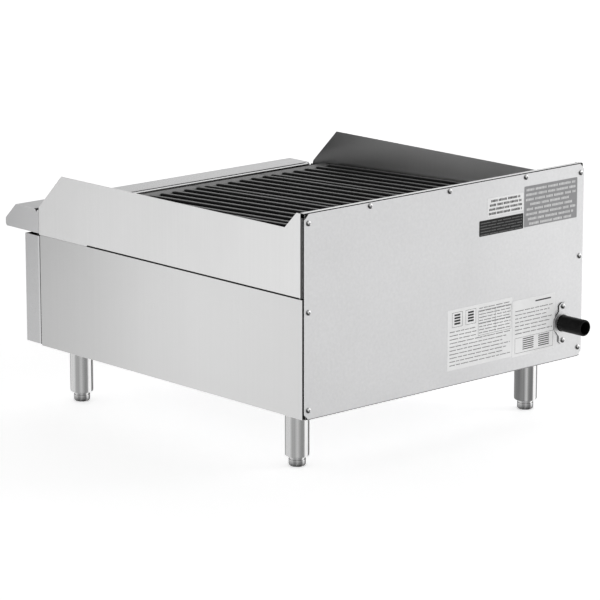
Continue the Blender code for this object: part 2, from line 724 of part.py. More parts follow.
def make_inlet_plate():
    """The retaining plate: an eight-sided middle with a narrow screw tab above and below."""
    steel = 1.8 * MM
    upper = [(4.0, 34.0), (8.7, 30.0), (8.7, 20.5), (19.6, 8.2)]
    right = upper + [(x, -z) for x, z in reversed(upper)]
    outline = right + [(-x, z) for x, z in reversed(right)]
    scaled = [(x * MM, z * MM) for x, z in outline]
    middle = at(INLET_X, -(GAP + steel / 2), PIPE_HEIGHT)
    made = plate("inlet_plate", scaled, steel, FACING_REAR, middle)
    where = at(INLET_X, 0, PIPE_HEIGHT)
    hole = cylinder("plate_pipe_hole", 14.2 * MM, 12 * MM, POINTING_REAR, where, 28)
    boolean(made, hole, "DIFFERENCE")
    return finish(made, GALVANISED)


def add_plate_screws(rear_panel, inlet_plate):
    """Two screws hold the plate to the rear panel."""
    plate_face = -(GAP + 1.8 * MM)
    for index, offset in enumerate((PLATE_SCREW_OFFSET, -PLATE_SCREW_OFFSET), start=1):
        z = PIPE_HEIGHT + offset
        hole_name = f"plate_screw_hole_{index}"
        where = at(INLET_X, 0, z)
        cutter = cylinder(hole_name, SCREW_HOLE, 12 * MM, POINTING_REAR, where, 10)
        boolean(rear_panel, cutter, "DIFFERENCE")
        cut_again(inlet_plate, cutter)
        make_screw(f"plate_screw_{index}", at(INLET_X, plate_face - GAP, z))


def make_drip_tray():
    """The full-width tray: an open pan, a front plate and a pull lip along its top."""
    bm = bmesh.new()
    bmesh.ops.create_cube(bm, size=1.0)
    low = at(-TRAY_HALF, PANEL_FORWARD + 0.5 * MM, TRAY_BOTTOM)
    high = at(TRAY_HALF, TRAY_REAR, TRAY_WALL_TOP)
    bmesh.ops.scale(bm, vec=high - low, verts=bm.verts)
    bmesh.ops.translate(bm, vec=(low + high) / 2, verts=bm.verts)
    top = [f for f in bm.faces if f.normal.z > 0.5]
    bmesh.ops.delete(bm, geom=top, context="FACES_ONLY")
    tray = thicken(mesh_object("drip_tray", bm))
    face_back, face_front = PANEL_FORWARD + 0.3 * MM, PANEL_FORWARD + 1.7 * MM
    half, face_top = 299 * MM, 151 * MM
    face = box("tray_face", (-half, half), (face_back, face_front), (99.5 * MM, face_top))
    boolean(tray, face, "UNION")
    lip_half, lip_low = 200 * MM, face_top - 1.4 * MM
    lip_span = (face_back + 0.2 * MM, 701 * MM)
    lip = box("tray_lip", (-lip_half, lip_half), lip_span, (lip_low, face_top))
    boolean(tray, lip, "UNION")
    return finish(tray, STAINLESS)


def make_leg(name, x, forward):
    """A round tube leg with a rolled lower edge, bored for its levelling foot."""
    top = BODY_BOTTOM + SHEET
    bore, bore_top = 14.3 * MM, 78 * MM
    roll = 2.2 * MM
    profile = [
        (0.0, top),
        (LEG_RADIUS, top),
        (LEG_RADIUS, LEG_BOTTOM + roll),
        (LEG_RADIUS - 0.3 * roll, LEG_BOTTOM + 0.3 * roll),
        (LEG_RADIUS - roll, LEG_BOTTOM),
        (bore, LEG_BOTTOM),
        (bore, bore_top),
        (0.0, bore_top),
    ]
    return finish(turned(name, profile, at(x, forward, 0), steps=24), STAINLESS)


def make_foot(name, x, forward):
    """The levelling foot: a round shoe inside the leg, with its threaded stud above."""
    stud, shoe_top, stud_top, edge = 5 * MM, 45 * MM, 62 * MM, 1.2 * MM
    profile = [
        (0.0, stud_top),
        (stud, stud_top),
        (stud, shoe_top),
        (FOOT_RADIUS, shoe_top),
        (FOOT_RADIUS, edge),
        (FOOT_RADIUS - edge, 0.0),
        (0.0, 0.0),
    ]
    return finish(turned(name, profile, at(x, forward, 0), steps=24), ZINC)


def build_body():
    side_panels = {}
    for side_name, side in SIDES.items():
        side_panels[side_name] = make_side_panel(f"{side_name}_side_panel", side)
        make_side_splash(f"{side_name}_side_splash", side)
        make_base_rail(f"{side_name}_base_rail", side)
        make_firebox_liner(f"{side_name}_firebox_liner", side)
    rear_panel = make_rear_panel()
    drill_rear_screws(rear_panel, make_rear_splash(), side_panels)
    for index, (x, z) in enumerate(rear_screw_places(), start=1):
        make_screw(f"rear_screw_{index}", at(x, -GAP, z))
    make_front_ledge()
    make_control_panel()
    make_firebox_front_wall()
    make_grease_trough()
    front = [(612.0, 306.0), (596.0, 306.0), (596.0, 250.0), (578.0, 250.0)]
    make_grate_rail("front_grate_rail", front)
    rear = [(14.8, 330.5), (60.0, 330.5), (60.0, 250.0), (78.0, 250.0)]
    make_grate_rail("rear_grate_rail", rear)
    return rear_panel


def build_gas_train(rear_panel):
    make_gas_inlet_pipe()
    add_plate_screws(rear_panel, make_inlet_plate())
    make_supply_pipe()
    make_manifold_pipe()
    for side_name, side in SIDES.items():
        make_burner(f"{side_name}_burner", side)
        make_air_shutter(f"{side_name}_air_shutter", side)
        make_orifice(f"{side_name}_orifice", side)
        make_valve(f"{side_name}_gas_valve", side)
        make_knob(f"{side_name}_knob", side)
        make_pilot(f"{side_name}_pilot", side)


def build_legs():
    for side_name, side in SIDES.items():
        for end_name, forward in LEG_FORWARDS.items():
            make_leg(f"{end_name}_{side_name}_leg", side * LEG_X, forward)
            make_foot(f"{end_name}_{side_name}_foot", side * LEG_X, forward)


clear_scene()
PARTS = new_collection("charbroiler")
HELPERS = new_collection("charbroiler_helpers")
build_gas_train(build_body())
make_grates()
make_radiants()
make_drip_tray()
build_legs()
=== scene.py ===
import json
import math
import random

import bmesh
import bpy
from mathutils import Matrix, Vector


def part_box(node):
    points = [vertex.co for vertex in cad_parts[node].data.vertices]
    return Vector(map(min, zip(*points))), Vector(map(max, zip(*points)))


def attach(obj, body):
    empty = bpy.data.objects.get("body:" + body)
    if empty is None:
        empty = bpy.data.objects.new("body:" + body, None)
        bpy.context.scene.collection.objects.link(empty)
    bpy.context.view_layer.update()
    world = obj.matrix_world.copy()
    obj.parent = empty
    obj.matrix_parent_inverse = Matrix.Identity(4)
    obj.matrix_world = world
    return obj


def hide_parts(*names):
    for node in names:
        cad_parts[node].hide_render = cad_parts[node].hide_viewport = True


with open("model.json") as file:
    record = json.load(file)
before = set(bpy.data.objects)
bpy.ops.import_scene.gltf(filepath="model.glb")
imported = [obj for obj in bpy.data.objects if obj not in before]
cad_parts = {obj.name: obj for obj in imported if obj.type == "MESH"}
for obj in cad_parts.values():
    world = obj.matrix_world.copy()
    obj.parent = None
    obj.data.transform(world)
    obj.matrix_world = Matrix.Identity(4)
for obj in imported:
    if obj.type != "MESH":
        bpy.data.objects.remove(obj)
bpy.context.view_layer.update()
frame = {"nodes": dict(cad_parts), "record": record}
NODES = frame["nodes"]

MM = 0.001


# Camera
AIM = Vector((0.0494, 0.0508, 0.1926))
AZIMUTH = math.radians(137.71)
ELEVATION = math.radians(13.14)
DISTANCE = 5.4
LENS_MM = 200.2
SENSOR_MM = 36.0


def linked(name, data):
    """A new object in the scene."""
    obj = bpy.data.objects.new(name, data)
    bpy.context.scene.collection.objects.link(obj)
    return obj


def add_camera():
    data = bpy.data.cameras.new("studio_camera")
    data.sensor_width = SENSOR_MM
    data.lens = LENS_MM
    data.clip_end = 200.0
    camera = linked("studio_camera", data)
    away = Vector((
        math.sin(AZIMUTH) * math.cos(ELEVATION),
        -math.cos(AZIMUTH) * math.cos(ELEVATION),
        math.sin(ELEVATION),
    ))
    camera.location = AIM + away * DISTANCE
    camera.rotation_euler = (-away).to_track_quat("-Z", "Y").to_euler()
    bpy.context.scene.camera = camera


add_camera()


# Node helpers
def grey(level):
    return (level, level, level)


def greys(stops):
    """Colour stops from (place, level) pairs."""
    return [(place, grey(level)) for place, level in stops]


def scaled(tint, factor):
    return tuple(min(channel * factor, 1.0) for channel in tint)


class Look:
    """A material being wired up: each method adds a node and returns its output."""

    def __init__(self, name):
        self.material = bpy.data.materials.new(name)
        self.material.use_nodes = True
        self.tree = self.material.node_tree
        self.shader = self.tree.nodes["Principled BSDF"]
        self.coordinates = self.node("ShaderNodeTexCoord").outputs["Object"]

    def node(self, kind, **values):
        made = self.tree.nodes.new(kind)
        for key, value in values.items():
            setattr(made, key, value)
        return made

    def put(self, socket, value):
        if isinstance(value, bpy.types.NodeSocket):
            self.tree.links.new(value, socket)
        else:
            socket.default_value = value

    def stretched(self, scale):
        mapping = self.node("ShaderNodeMapping")
        self.put(mapping.inputs["Vector"], self.coordinates)
        mapping.inputs["Scale"].default_value = scale
        return mapping.outputs["Vector"]

    def noise(self, scale, detail=3.0, roughness=0.55, distortion=0.0, vector=None):
        texture = self.node("ShaderNodeTexNoise")
        self.put(texture.inputs["Vector"], self.coordinates if vector is None else vector)
        texture.inputs["Scale"].default_value = scale
        texture.inputs["Detail"].default_value = detail
        texture.inputs["Roughness"].default_value = roughness
        texture.inputs["Distortion"].default_value = distortion
        return texture.outputs["Fac"]

    def grain(self, axis, across, along, detail=2.0):
        """Noise drawn out along axis 0, 1 or 2."""
        scale = [across, across, across]
        scale[axis] = along
        return self.noise(1.0, detail=detail, vector=self.stretched(scale))

    def ramp(self, value, stops):
        ramp = self.node("ShaderNodeValToRGB")
        self.put(ramp.inputs["Fac"], value)
        elements = ramp.color_ramp.elements
        while len(elements) < len(stops):
            elements.new(0.5)
        for element, (place, colour) in zip(elements, stops):
            element.position = place
            element.color = (*colour, 1.0)
        return ramp.outputs["Color"]

    def span(self, value, low, high, from_low=0.0, from_high=1.0):
        ranged = self.node("ShaderNodeMapRange")
        self.put(ranged.inputs["Value"], value)
        ranged.inputs["From Min"].default_value = from_low
        ranged.inputs["From Max"].default_value = from_high
        ranged.inputs["To Min"].default_value = low
        ranged.inputs["To Max"].default_value = high
        return ranged.outputs["Result"]

    def maths(self, operation, first, second):
        sum_node = self.node("ShaderNodeMath", operation=operation)
        self.put(sum_node.inputs[0], first)
        self.put(sum_node.inputs[1], second)
        return sum_node.outputs[0]

    def mix(self, factor, first, second, blend="MIX"):
        mixer = self.node("ShaderNodeMix", data_type="RGBA", blend_type=blend)
        self.put(mixer.inputs["Factor"], factor)
        for socket, value in zip((mixer.inputs[6], mixer.inputs[7]), (first, second)):
            if isinstance(value, tuple):
                value = (*value, 1.0)
            self.put(socket, value)
        return mixer.outputs[2]

    def edge(self, radius):
        """1 close to a convex or concave edge, 0 away from it."""
        rounded = self.node("ShaderNodeBevel", samples=4)
        rounded.inputs["Radius"].default_value = radius
        turn = self.node("ShaderNodeVectorMath", operation="DOT_PRODUCT")
        self.put(turn.inputs[0], rounded.outputs["Normal"])
        self.put(turn.inputs[1], self.node("ShaderNodeNewGeometry").outputs["True Normal"])
        return self.span(self.maths("SUBTRACT", 1.0, turn.outputs["Value"]), 0.0, 1.0, 0.04, 0.30)

    def split(self, vector):
        parts = self.node("ShaderNodeSeparateXYZ")
        self.put(parts.inputs[0], vector)
        return parts.outputs

    def place(self, axis):
        """Where a point lies along X, Y or Z, in metres."""
        return self.split(self.coordinates)[axis]

    def facing(self, axis):
        """How far a face looks along X, Y or Z, from -1 to 1."""
        return self.split(self.node("ShaderNodeTexCoord").outputs["Normal"])[axis]

    def bump(self, height, strength, distance, below=None):
        made = self.node("ShaderNodeBump")
        self.put(made.inputs["Height"], height)
        made.inputs["Strength"].default_value = strength
        made.inputs["Distance"].default_value = distance
        if below is not None:
            self.put(made.inputs["Normal"], below)
        return made.outputs["Normal"]

    def set(self, **values):
        for key, value in values.items():
            socket = self.shader.inputs[key.replace("_", " ").title()]
            if isinstance(value, tuple):
                value = (*value, 1.0)
            self.put(socket, value)
        return self.material


GRAIN_DEPTH = 0.5


def stainless(name, axis, tint, rough, streak=0.03, tones=None):
    """Brushed sheet: fine scratches along one axis over slow stains in colour and gloss, with a
    painted highlight along its edges that is partly edge wear.
    """
    look = Look(name)
    scratches = look.grain(axis, 5200.0, 30.0)
    bands = look.grain(axis, 240.0, 2.2, detail=4.0)
    stains = look.noise(7.0, detail=3.0, distortion=0.2)
    dark, light = scaled(tint, 1.0 - streak), scaled(tint, 1.0 + streak)
    colour = look.mix(look.span(bands, 0.0, 1.0, 0.3, 0.7), dark, light)
    colour = look.mix(look.span(stains, 0.0, 0.05, 0.45, 0.75), colour, (0.55, 0.545, 0.535))
    if tones is not None:
        colour = look.mix(1.0, colour, tones(look), "MULTIPLY")
    # Painted highlight along the edges, partly edge wear, broken up by the stains.
    wear_and_highlight = look.maths("MULTIPLY", look.edge(0.9 * MM), look.span(stains, 0.55, 1.0, 0.3, 0.6))
    colour = look.mix(wear_and_highlight, colour, grey(0.97))
    shine = look.maths("ADD", look.span(scratches, -0.05, 0.05), look.span(stains, -0.03, 0.04))
    look.set(metallic=1.0, base_color=colour, roughness=look.maths("ADD", shine, rough))
    look.put(look.shader.inputs["Normal"], look.bump(scratches, GRAIN_DEPTH, 0.03 * MM))
    return look.material


def mill_sheet(name, tint, rough, tones=None):
    """Unbrushed sheet: a soft cloudy mottle with tiny flecks, with a painted highlight along its
    edges that is partly edge wear.
    """
    look = Look(name)
    clouds = look.noise(190.0, detail=4.0, distortion=0.3)
    flecks = look.noise(900.0, detail=2.0)
    patches = look.noise(11.0, detail=4.0)
    dark, light = scaled(tint, 0.965), scaled(tint, 1.03)
    colour = look.mix(look.span(clouds, 0.0, 1.0, 0.35, 0.68), dark, light)
    colour = look.mix(look.span(patches, 0.0, 0.10, 0.35, 0.7), colour, scaled(tint, 0.78))
    colour = look.mix(look.span(flecks, 0.0, 0.08, 0.55, 0.7), colour, (0.5, 0.5, 0.51))
    if tones is not None:
        colour = look.mix(1.0, colour, tones(look), "MULTIPLY")
    # Painted highlight along the edges, partly edge wear, broken up by the patches.
    wear_and_highlight = look.maths("MULTIPLY", look.edge(1.0 * MM), look.span(patches, 0.5, 1.0, 0.3, 0.6))
    colour = look.mix(wear_and_highlight, colour, grey(0.95))
    shine = look.maths("ADD", look.span(clouds, -0.03, 0.03), look.span(patches, -0.03, 0.03))
    look.set(metallic=1.0, base_color=colour, roughness=look.maths("ADD", shine, rough))
    look.put(look.shader.inputs["Normal"], look.bump(flecks, 0.25, 0.04 * MM))
    return look.material


TUBE_TURN = math.radians(-47.7)


def drawn_tube(name, rough, shaded_base=0.0, flank=0.60, core=1.0):
    """Polished tube: fixed bands of light and dark run down it, broken up by fine draw lines.

    The bands imitate reflections, and TUBE_TURN sets where round the tube they fall.
    """
    look = Look(name)
    turned = look.node("ShaderNodeMapping")
    look.put(turned.inputs["Vector"], look.coordinates)
    turned.inputs["Rotation"].default_value = (0.0, 0.0, TUBE_TURN)
    around = look.node("ShaderNodeTexGradient", gradient_type="RADIAL")
    look.put(around.inputs["Vector"], turned.outputs["Vector"])
    lines = look.grain(2, 900.0, 6.0, detail=3.0)
    sway = look.span(lines, -0.006, 0.006)
    bands = [
        (0.00, 0.50), (0.12, 0.36), (0.20, 0.60), (0.262, 0.13), (0.302, 0.15), (0.325, flank),
        (0.40, flank), (0.432, 0.34 * core), (0.472, 0.32 * core), (0.493, 0.46), (0.51, 0.46),
        (0.535, 0.31 * core), (0.56, 0.23 * core), (0.59, 0.25 * core), (0.615, 0.90),
        (0.655, 0.98), (0.672, 0.07), (0.75, 0.07), (0.80, 0.55), (0.92, 0.40),
    ]
    colour = look.ramp(look.maths("ADD", around.outputs["Fac"], sway), greys(bands))
    colour = look.mix(look.span(lines, 0.0, 0.16, 0.4, 0.7), colour, grey(0.5))
    # Painted shade: close to its foot the tube is painted near black, in patches.
    if shaded_base:
        low = look.span(look.place("Z"), 1.0, 0.0, 2.0 * MM, shaded_base)
        shade_patches = look.span(look.noise(300.0, detail=4.0), 0.5, 1.0, 0.3, 0.6)
        colour = look.mix(look.maths("MULTIPLY", low, shade_patches), colour, grey(0.03))
    shine = look.maths("ADD", look.span(lines, -0.05, 0.06), rough)
    look.set(metallic=1.0, base_color=colour, roughness=shine)
    look.put(look.shader.inputs["Normal"], look.bump(lines, 0.3, 0.04 * MM))
    return look.material


def cast_iron(name, tint, wear_and_highlight, rough):
    """Sand-cast iron: a pebbled skin, painted lighter on what faces up, a painted highlight that is
    partly rubbed wear.
    """
    look = Look(name)
    pebbles = look.noise(650.0, detail=4.0, roughness=0.6)
    lumps = look.noise(60.0, detail=3.0)
    patches = look.noise(16.0, detail=4.0, distortion=0.5)
    normal = look.node("ShaderNodeNewGeometry").outputs["Normal"]
    upward = look.span(look.split(normal)["Z"], 0.0, 1.0, 0.90, 0.995)
    # Painted highlight on what faces up, partly rubbed wear, broken up by the patches and pebbles.
    rubbed_and_highlight = look.maths("MULTIPLY", upward, look.span(patches, 0.25, 1.0, 0.3, 0.65))
    rubbed_and_highlight = look.maths("MULTIPLY", rubbed_and_highlight, look.span(pebbles, 0.5, 1.0, 0.35, 0.6))
    colour = look.mix(look.span(lumps, 0.0, 1.0, 0.3, 0.7), tint, scaled(tint, 1.6))
    colour = look.mix(rubbed_and_highlight, colour, wear_and_highlight)
    look.put(look.shader.inputs["Specular IOR Level"], look.span(upward, 0.10, 0.75))
    shine = look.maths("ADD", look.span(pebbles, -0.08, 0.10), look.span(patches, -0.06, 0.06))
    relief = look.bump(lumps, 0.35, 0.4 * MM)
    relief = look.bump(pebbles, 0.45, 0.12 * MM, relief)
    look.set(metallic=0.0, base_color=colour, roughness=look.maths("ADD", shine, rough))
    look.put(look.shader.inputs["Normal"], relief)
    return look.material


def plain_metal(name, tint, rough, metallic=1.0, depth=0.2, gloss=0.5):
    """An even surface with a fine tooth and slow changes in colour and gloss."""
    look = Look(name)
    tooth = look.noise(1400.0, detail=3.0)
    slow = look.noise(90.0, detail=4.0)
    dark, light = scaled(tint, 0.86), scaled(tint, 1.08)
    colour = look.mix(look.span(slow, 0.0, 1.0, 0.3, 0.7), dark, light)
    shine = look.maths("ADD", look.span(tooth, -0.04, 0.04), look.span(slow, -0.05, 0.05))
    look.set(metallic=metallic, base_color=colour, roughness=look.maths("ADD", shine, rough))
    look.shader.inputs["Specular IOR Level"].default_value = gloss
    look.put(look.shader.inputs["Normal"], look.bump(tooth, depth, 0.05 * MM))
    return look.material


BRIGHT_DIRECTION = (-0.62, 0.0, 0.78)


def dished_zinc(name):
    """Bright plating, painted light on the side towards BRIGHT_DIRECTION and dark below."""
    look = Look(name)
    specks = look.noise(2600.0, detail=3.0)
    toward = look.node("ShaderNodeVectorMath", operation="DOT_PRODUCT")
    look.put(toward.inputs[0], look.node("ShaderNodeNewGeometry").outputs["Normal"])
    toward.inputs[1].default_value = BRIGHT_DIRECTION
    stops = greys([(0.0, 0.02), (0.34, 0.05), (0.45, 0.55), (0.54, 0.85), (0.66, 1.0)])
    colour = look.ramp(look.span(toward.outputs["Value"], 0.0, 1.0, -1.0, 1.0), stops)
    colour = look.mix(look.span(specks, 0.0, 0.08, 0.4, 0.7), colour, grey(0.4))
    look.set(metallic=1.0, base_color=colour, roughness=look.span(specks, 0.34, 0.44))
    look.put(look.shader.inputs["Normal"], look.bump(specks, 0.15, 0.03 * MM))
    return look.material


# Painted shade and light laid over the sheets, and stains on the tray, each fixed to the object
REAR_END, FRONT_END = 0.34, -0.31
PANEL_LOW, PANEL_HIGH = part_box("rear_panel")
REAR_FACE = PANEL_HIGH.y
HALF_WIDTH = PANEL_HIGH.x
SIDE_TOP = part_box("left_side_panel")[1].z
PANEL_HEM = REAR_FACE - 643.0 * MM
PLAIN = grey(1.0)
# Black painted shade for the gaps between sheets.
GAP_SHADE_BLACK = grey(0.02)


def along_depth(look, stops):
    """Greys along the unit's depth, from its rear at 0 to its front at 1."""
    return look.ramp(look.span(look.place("Y"), 0.0, 1.0, REAR_END, FRONT_END), greys(stops))


def along_width(look, stops):
    """Greys along the unit's width, from its left side at 0 to its right side at 1."""
    return look.ramp(look.span(look.place("X"), 0.0, 1.0, -HALF_WIDTH, HALF_WIDTH), greys(stops))


def off_centre(look, value, low, high, start, end):
    return look.span(look.maths("ABSOLUTE", value, 0.0), low, high, start, end)


def gap_shade(look, colour, depth, inset):
    """Painted shade: a black line in the gap between the rear panel and what is folded behind it.
    """
    close = look.span(look.place("Y"), 0.0, 1.0, REAR_FACE - depth - 0.3 * MM, REAR_FACE - depth)
    inside = off_centre(look, look.place("X"), 1.0, 0.0, inset - 0.3 * MM, inset)
    return look.mix(look.maths("MULTIPLY", close, inside), colour, GAP_SHADE_BLACK)


def guard_painted_shade(side):
    """Painted shade on a splash guard: it stays bright outside, darkening a little towards the
    front, and is painted much darker inside towards the front.

    The side is -1 for the left and 1 for the right.
    """
    def tones(look):
        outer = along_depth(look, [(0.0, 1.0), (0.35, 0.96), (0.7, 0.93), (1.0, 0.93)])
        inner = along_depth(look, [(0.0, 1.0), (0.2, 1.0), (0.42, 0.98), (0.66, 0.60), (1.0, 0.24)])
        inward = look.maths("MULTIPLY", look.facing("X"), -side)
        return look.mix(look.span(inward, 0.0, 1.0, 0.2, 0.6), outer, inner)
    return tones


def side_painted_shade(look):
    """Painted shade on a side panel: it darkens towards the front, and its rear step and that
    step's top are painted black as shade in the gaps.
    """
    painted_front_shade = along_depth(look, [(0.0, 1.06), (0.38, 1.08), (0.58, 1.01), (0.78, 0.88), (1.0, 0.78)])
    stepped = gap_shade(look, painted_front_shade, 7.0 * MM, HALF_WIDTH - 0.8 * MM)
    high = look.span(look.place("Z"), 0.0, 1.0, SIDE_TOP - 0.4 * MM, SIDE_TOP - 0.2 * MM)
    edge = HALF_WIDTH - 0.8 * MM
    inside = off_centre(look, look.place("X"), 1.0, 0.0, edge - 0.3 * MM, edge)
    return look.mix(look.maths("MULTIPLY", high, inside), stepped, GAP_SHADE_BLACK)


def back_painted_shade(look):
    """Painted shade on the back guard: its side hems are painted dark grey, near black close to the
    rear panel, and its fold is painted black against the rear panel.
    """
    sideways = off_centre(look, look.facing("X"), 0.0, 1.0, 0.5, 0.8)
    level = look.span(look.place("Y"), 0.26, 0.02, REAR_FACE - 8.2 * MM, REAR_FACE - 7.4 * MM)
    shaded_hems = look.mix(sideways, PLAIN, look.ramp(level, greys([(0.0, 0.0), (1.0, 1.0)])))
    return gap_shade(look, shaded_hems, 3.4 * MM, 1.0)


def rear_painted_light(look):
    """The rear sheet is painted a little lighter towards its gas inlet side, as painted light, and
    is dark along its foot.
    """
    tones = along_width(look, [(0.0, 1.0), (0.12, 0.99), (0.42, 0.91), (1.0, 0.91)])
    low = look.span(look.place("Z"), 1.0, 0.0, PANEL_LOW.z + 0.9 * MM, PANEL_LOW.z + 1.5 * MM)
    return look.mix(low, tones, grey(0.20))


def tray_stains(look):
    """The tray's bottom carries faint blots, and its front stays clean."""
    blots = look.noise(6.0, detail=5.0, roughness=0.6, distortion=0.1)
    fine = look.span(look.noise(70.0, detail=4.0), -0.08, 0.08)
    soiling = look.span(look.maths("ADD", blots, fine), 0.0, 1.0, 0.5, 0.7)
    stained = look.mix(soiling, PLAIN, (0.78, 0.76, 0.73))
    return look.mix(look.span(look.facing("Z"), 0.0, 1.0, 0.6, 0.9), PLAIN, stained)


def shelf_painted_shade(look):
    """Painted shade: the shelf's top darkens towards its right-hand end."""
    tones = along_width(look, [(0.0, 1.0), (0.5, 0.95), (0.85, 0.78), (1.0, 0.68)])
    return look.mix(look.span(look.facing("Z"), 0.0, 1.0, 0.6, 0.9), PLAIN, tones)


def returns_painted_shade(look):
    """Painted shade: the folded ends of the control panel are painted darker than its face, with a
    painted black line at the hem.
    """
    sideways = off_centre(look, look.facing("X"), 0.0, 1.0, 0.5, 0.8)
    depth = look.span(look.place("Y"), 0.0, 1.0, PANEL_HEM, PANEL_HEM - 12.0 * MM)
    levels = [(0.0, 0.03), (0.16, 0.04), (0.22, 1.0), (0.38, 0.98), (0.5, 0.78), (1.0, 0.76)]
    return look.mix(sideways, PLAIN, look.ramp(depth, greys(levels)))


SIDE_SHEET = stainless("side_sheet", 2, grey(0.625), 0.30, 0.008, side_painted_shade)
LEFT_GUARD = stainless("left_guard", 2, grey(0.73), 0.30, 0.012, guard_painted_shade(-1))
RIGHT_GUARD = stainless("right_guard", 2, grey(0.73), 0.30, 0.012, guard_painted_shade(1))
BACK_GUARD = stainless("back_guard", 0, (0.70, 0.70, 0.705), 0.26, tones=back_painted_shade)
PANEL_SHEET = stainless("panel_sheet", 0, (0.64, 0.64, 0.645), 0.28, 0.015, returns_painted_shade)
TRAY_SHEET = stainless("tray_sheet", 1, (0.56, 0.56, 0.565), 0.36, 0.04, tray_stains)
LEDGE_SHEET = stainless("ledge_sheet", 0, (0.53, 0.53, 0.535), 0.28, 0.015, shelf_painted_shade)
FRONT_SHEET = stainless("front_sheet", 0, (0.70, 0.70, 0.705), 0.28)
REAR_SHEET = mill_sheet("rear_sheet", (0.68, 0.68, 0.685), 0.42, rear_painted_light)
LINER = mill_sheet("liner_sheet", (0.42, 0.42, 0.425), 0.45)
# The firebox liners are painted near black, as painted shade inside the firebox.
SHADED_LINER = mill_sheet("liner_painted_shade", (0.05, 0.048, 0.046), 0.55)
LEG_METAL = drawn_tube("leg_metal", 0.24)
# The rear left leg carries darker painted reflection bands.
DARK_REFLECTION_LEG_METAL = drawn_tube("leg_metal_painted_dark_reflections", 0.24, flank=0.15, core=0.6)
# The feet take painted shade near the sole.
FOOT_METAL = drawn_tube("foot_metal", 0.22, shaded_base=13.0 * MM)
# The third colour is the painted highlight on upward faces, partly rubbed wear.
GRATE_IRON = cast_iron("grate_iron", grey(0.006), (0.09, 0.09, 0.091), 0.42)
RADIANT_IRON = cast_iron("radiant_iron", (0.03, 0.028, 0.026), (0.06, 0.055, 0.05), 0.7)
BLACK_PIPE = plain_metal("black_pipe", grey(0.004), 0.38, metallic=0.0, depth=0.35, gloss=0.12)
BRASS = plain_metal("brass", (0.72, 0.50, 0.20), 0.30)
ZINC = dished_zinc("zinc")
# Painted shade for the screws' cross recesses.
RECESS_SHADE = plain_metal("recess_painted_shade", grey(0.03), 0.5, metallic=0.6)
# A near black for the retaining plate's side faces.
DARK_PLATE_EDGE = plain_metal("plate_edge_dark", grey(0.05), 0.6, metallic=0.5)
PHENOLIC = plain_metal("phenolic", (0.010, 0.010, 0.011), 0.33, metallic=0.0, depth=0.15)

LOOK_BY_SLOT = {
    "body_stainless": SIDE_SHEET,
    "rear_panel_steel": REAR_SHEET,
    "leg_stainless": LEG_METAL,
    "grate_iron": GRATE_IRON,
    "radiant_iron": RADIANT_IRON,
    "liner_steel": LINER,
    "black_iron_pipe": BLACK_PIPE,
    "brass": BRASS,
    "bright_zinc": ZINC,
    "knob_plastic": PHENOLIC,
}
LOOK_BY_NODE = {
    # Firebox liners: painted shade.
    "left_firebox_liner": SHADED_LINER,
    "right_firebox_liner": SHADED_LINER,
    "front_ledge": LEDGE_SHEET,
    "control_panel": PANEL_SHEET,
    "left_side_splash": LEFT_GUARD,
    "right_side_splash": RIGHT_GUARD,
    "drip_tray": TRAY_SHEET,
    "grease_trough": FRONT_SHEET,
    "rear_splash": BACK_GUARD,
}


def dress(node, look):
    node.data.materials.clear()
    node.data.materials.append(look)


for part in frame["record"]["subparts"]:
    name = part["node"]
    dress(NODES[name], LOOK_BY_NODE.get(name, LOOK_BY_SLOT[part["material_slot"]]))


def ease_edges(node, width):
    """Joins a CAD node's split faces and rounds its sharp edges, without touching its mesh."""
    weld = node.modifiers.new("joined", "WELD")
    weld.merge_threshold = 0.002 * MM
    flat = node.modifiers.new("flat", "DECIMATE")
    flat.decimate_type = "DISSOLVE"
    flat.angle_limit = math.radians(0.4)
    bevel = node.modifiers.new("eased", "BEVEL")
    bevel.width = width
    bevel.segments = 2
    bevel.limit_method = "ANGLE"
    bevel.angle_limit = math.radians(30.0)
    bevel.harden_normals = False
    node.modifiers.new("shaded", "WEIGHTED_NORMAL").keep_sharp = False
    node.data.shade_smooth()


SHEET_NODES = [
    "left_side_panel", "right_side_panel", "left_side_splash", "right_side_splash",
    "rear_splash", "front_ledge", "control_panel", "drip_tray", "grease_trough",
    "left_base_rail", "right_base_rail", "left_firebox_liner", "right_firebox_liner",
    "front_grate_rail", "rear_grate_rail", "firebox_front_wall",
]
for name in SHEET_NODES:
    ease_edges(NODES[name], 0.3 * MM)
ease_edges(NODES["rear_panel"], 0.45 * MM)
for side in ("left", "right"):
    ease_edges(NODES[f"{side}_burner"], 0.8 * MM)
    ease_edges(NODES[f"{side}_gas_valve"], 0.4 * MM)


# Mesh helpers
def mesh_of(name, bm):
    mesh = bpy.data.meshes.new(name)
    bm.to_mesh(mesh)
    bm.free()
    return mesh


def temporary(name, bm):
    return linked(name, mesh_of(name, bm))


def new_piece(name, bm, look, body, replaced=(), matrix=None):
    return place_mesh(name, mesh_of(name, bm), look, body, replaced, matrix)


def place_mesh(name, mesh, look, body, replaced=(), matrix=None):
    """A piece that rides on a body and may stand for CAD nodes. A dressed mesh keeps its looks."""
    obj = linked(name, mesh)
    if not mesh.materials:
        for each in look if isinstance(look, list) else [look]:
            mesh.materials.append(each)
    if matrix is not None:
        obj.matrix_world = matrix
    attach(obj, body)
    if replaced:
        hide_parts(*replaced)
    return obj


def combined(base, others, operation):
    """The mesh of base after a Boolean with each of the others, which are removed with it."""
    for other in others:
        modifier = base.modifiers.new("with", "BOOLEAN")
        modifier.object = other
        modifier.operation = operation
        modifier.solver = "EXACT"
    bpy.context.view_layer.update()
    graph = bpy.context.evaluated_depsgraph_get()
    mesh = bpy.data.meshes.new_from_object(base.evaluated_get(graph))
    for obj in (base, *others):
        bpy.data.objects.remove(obj, do_unlink=True)
    return mesh


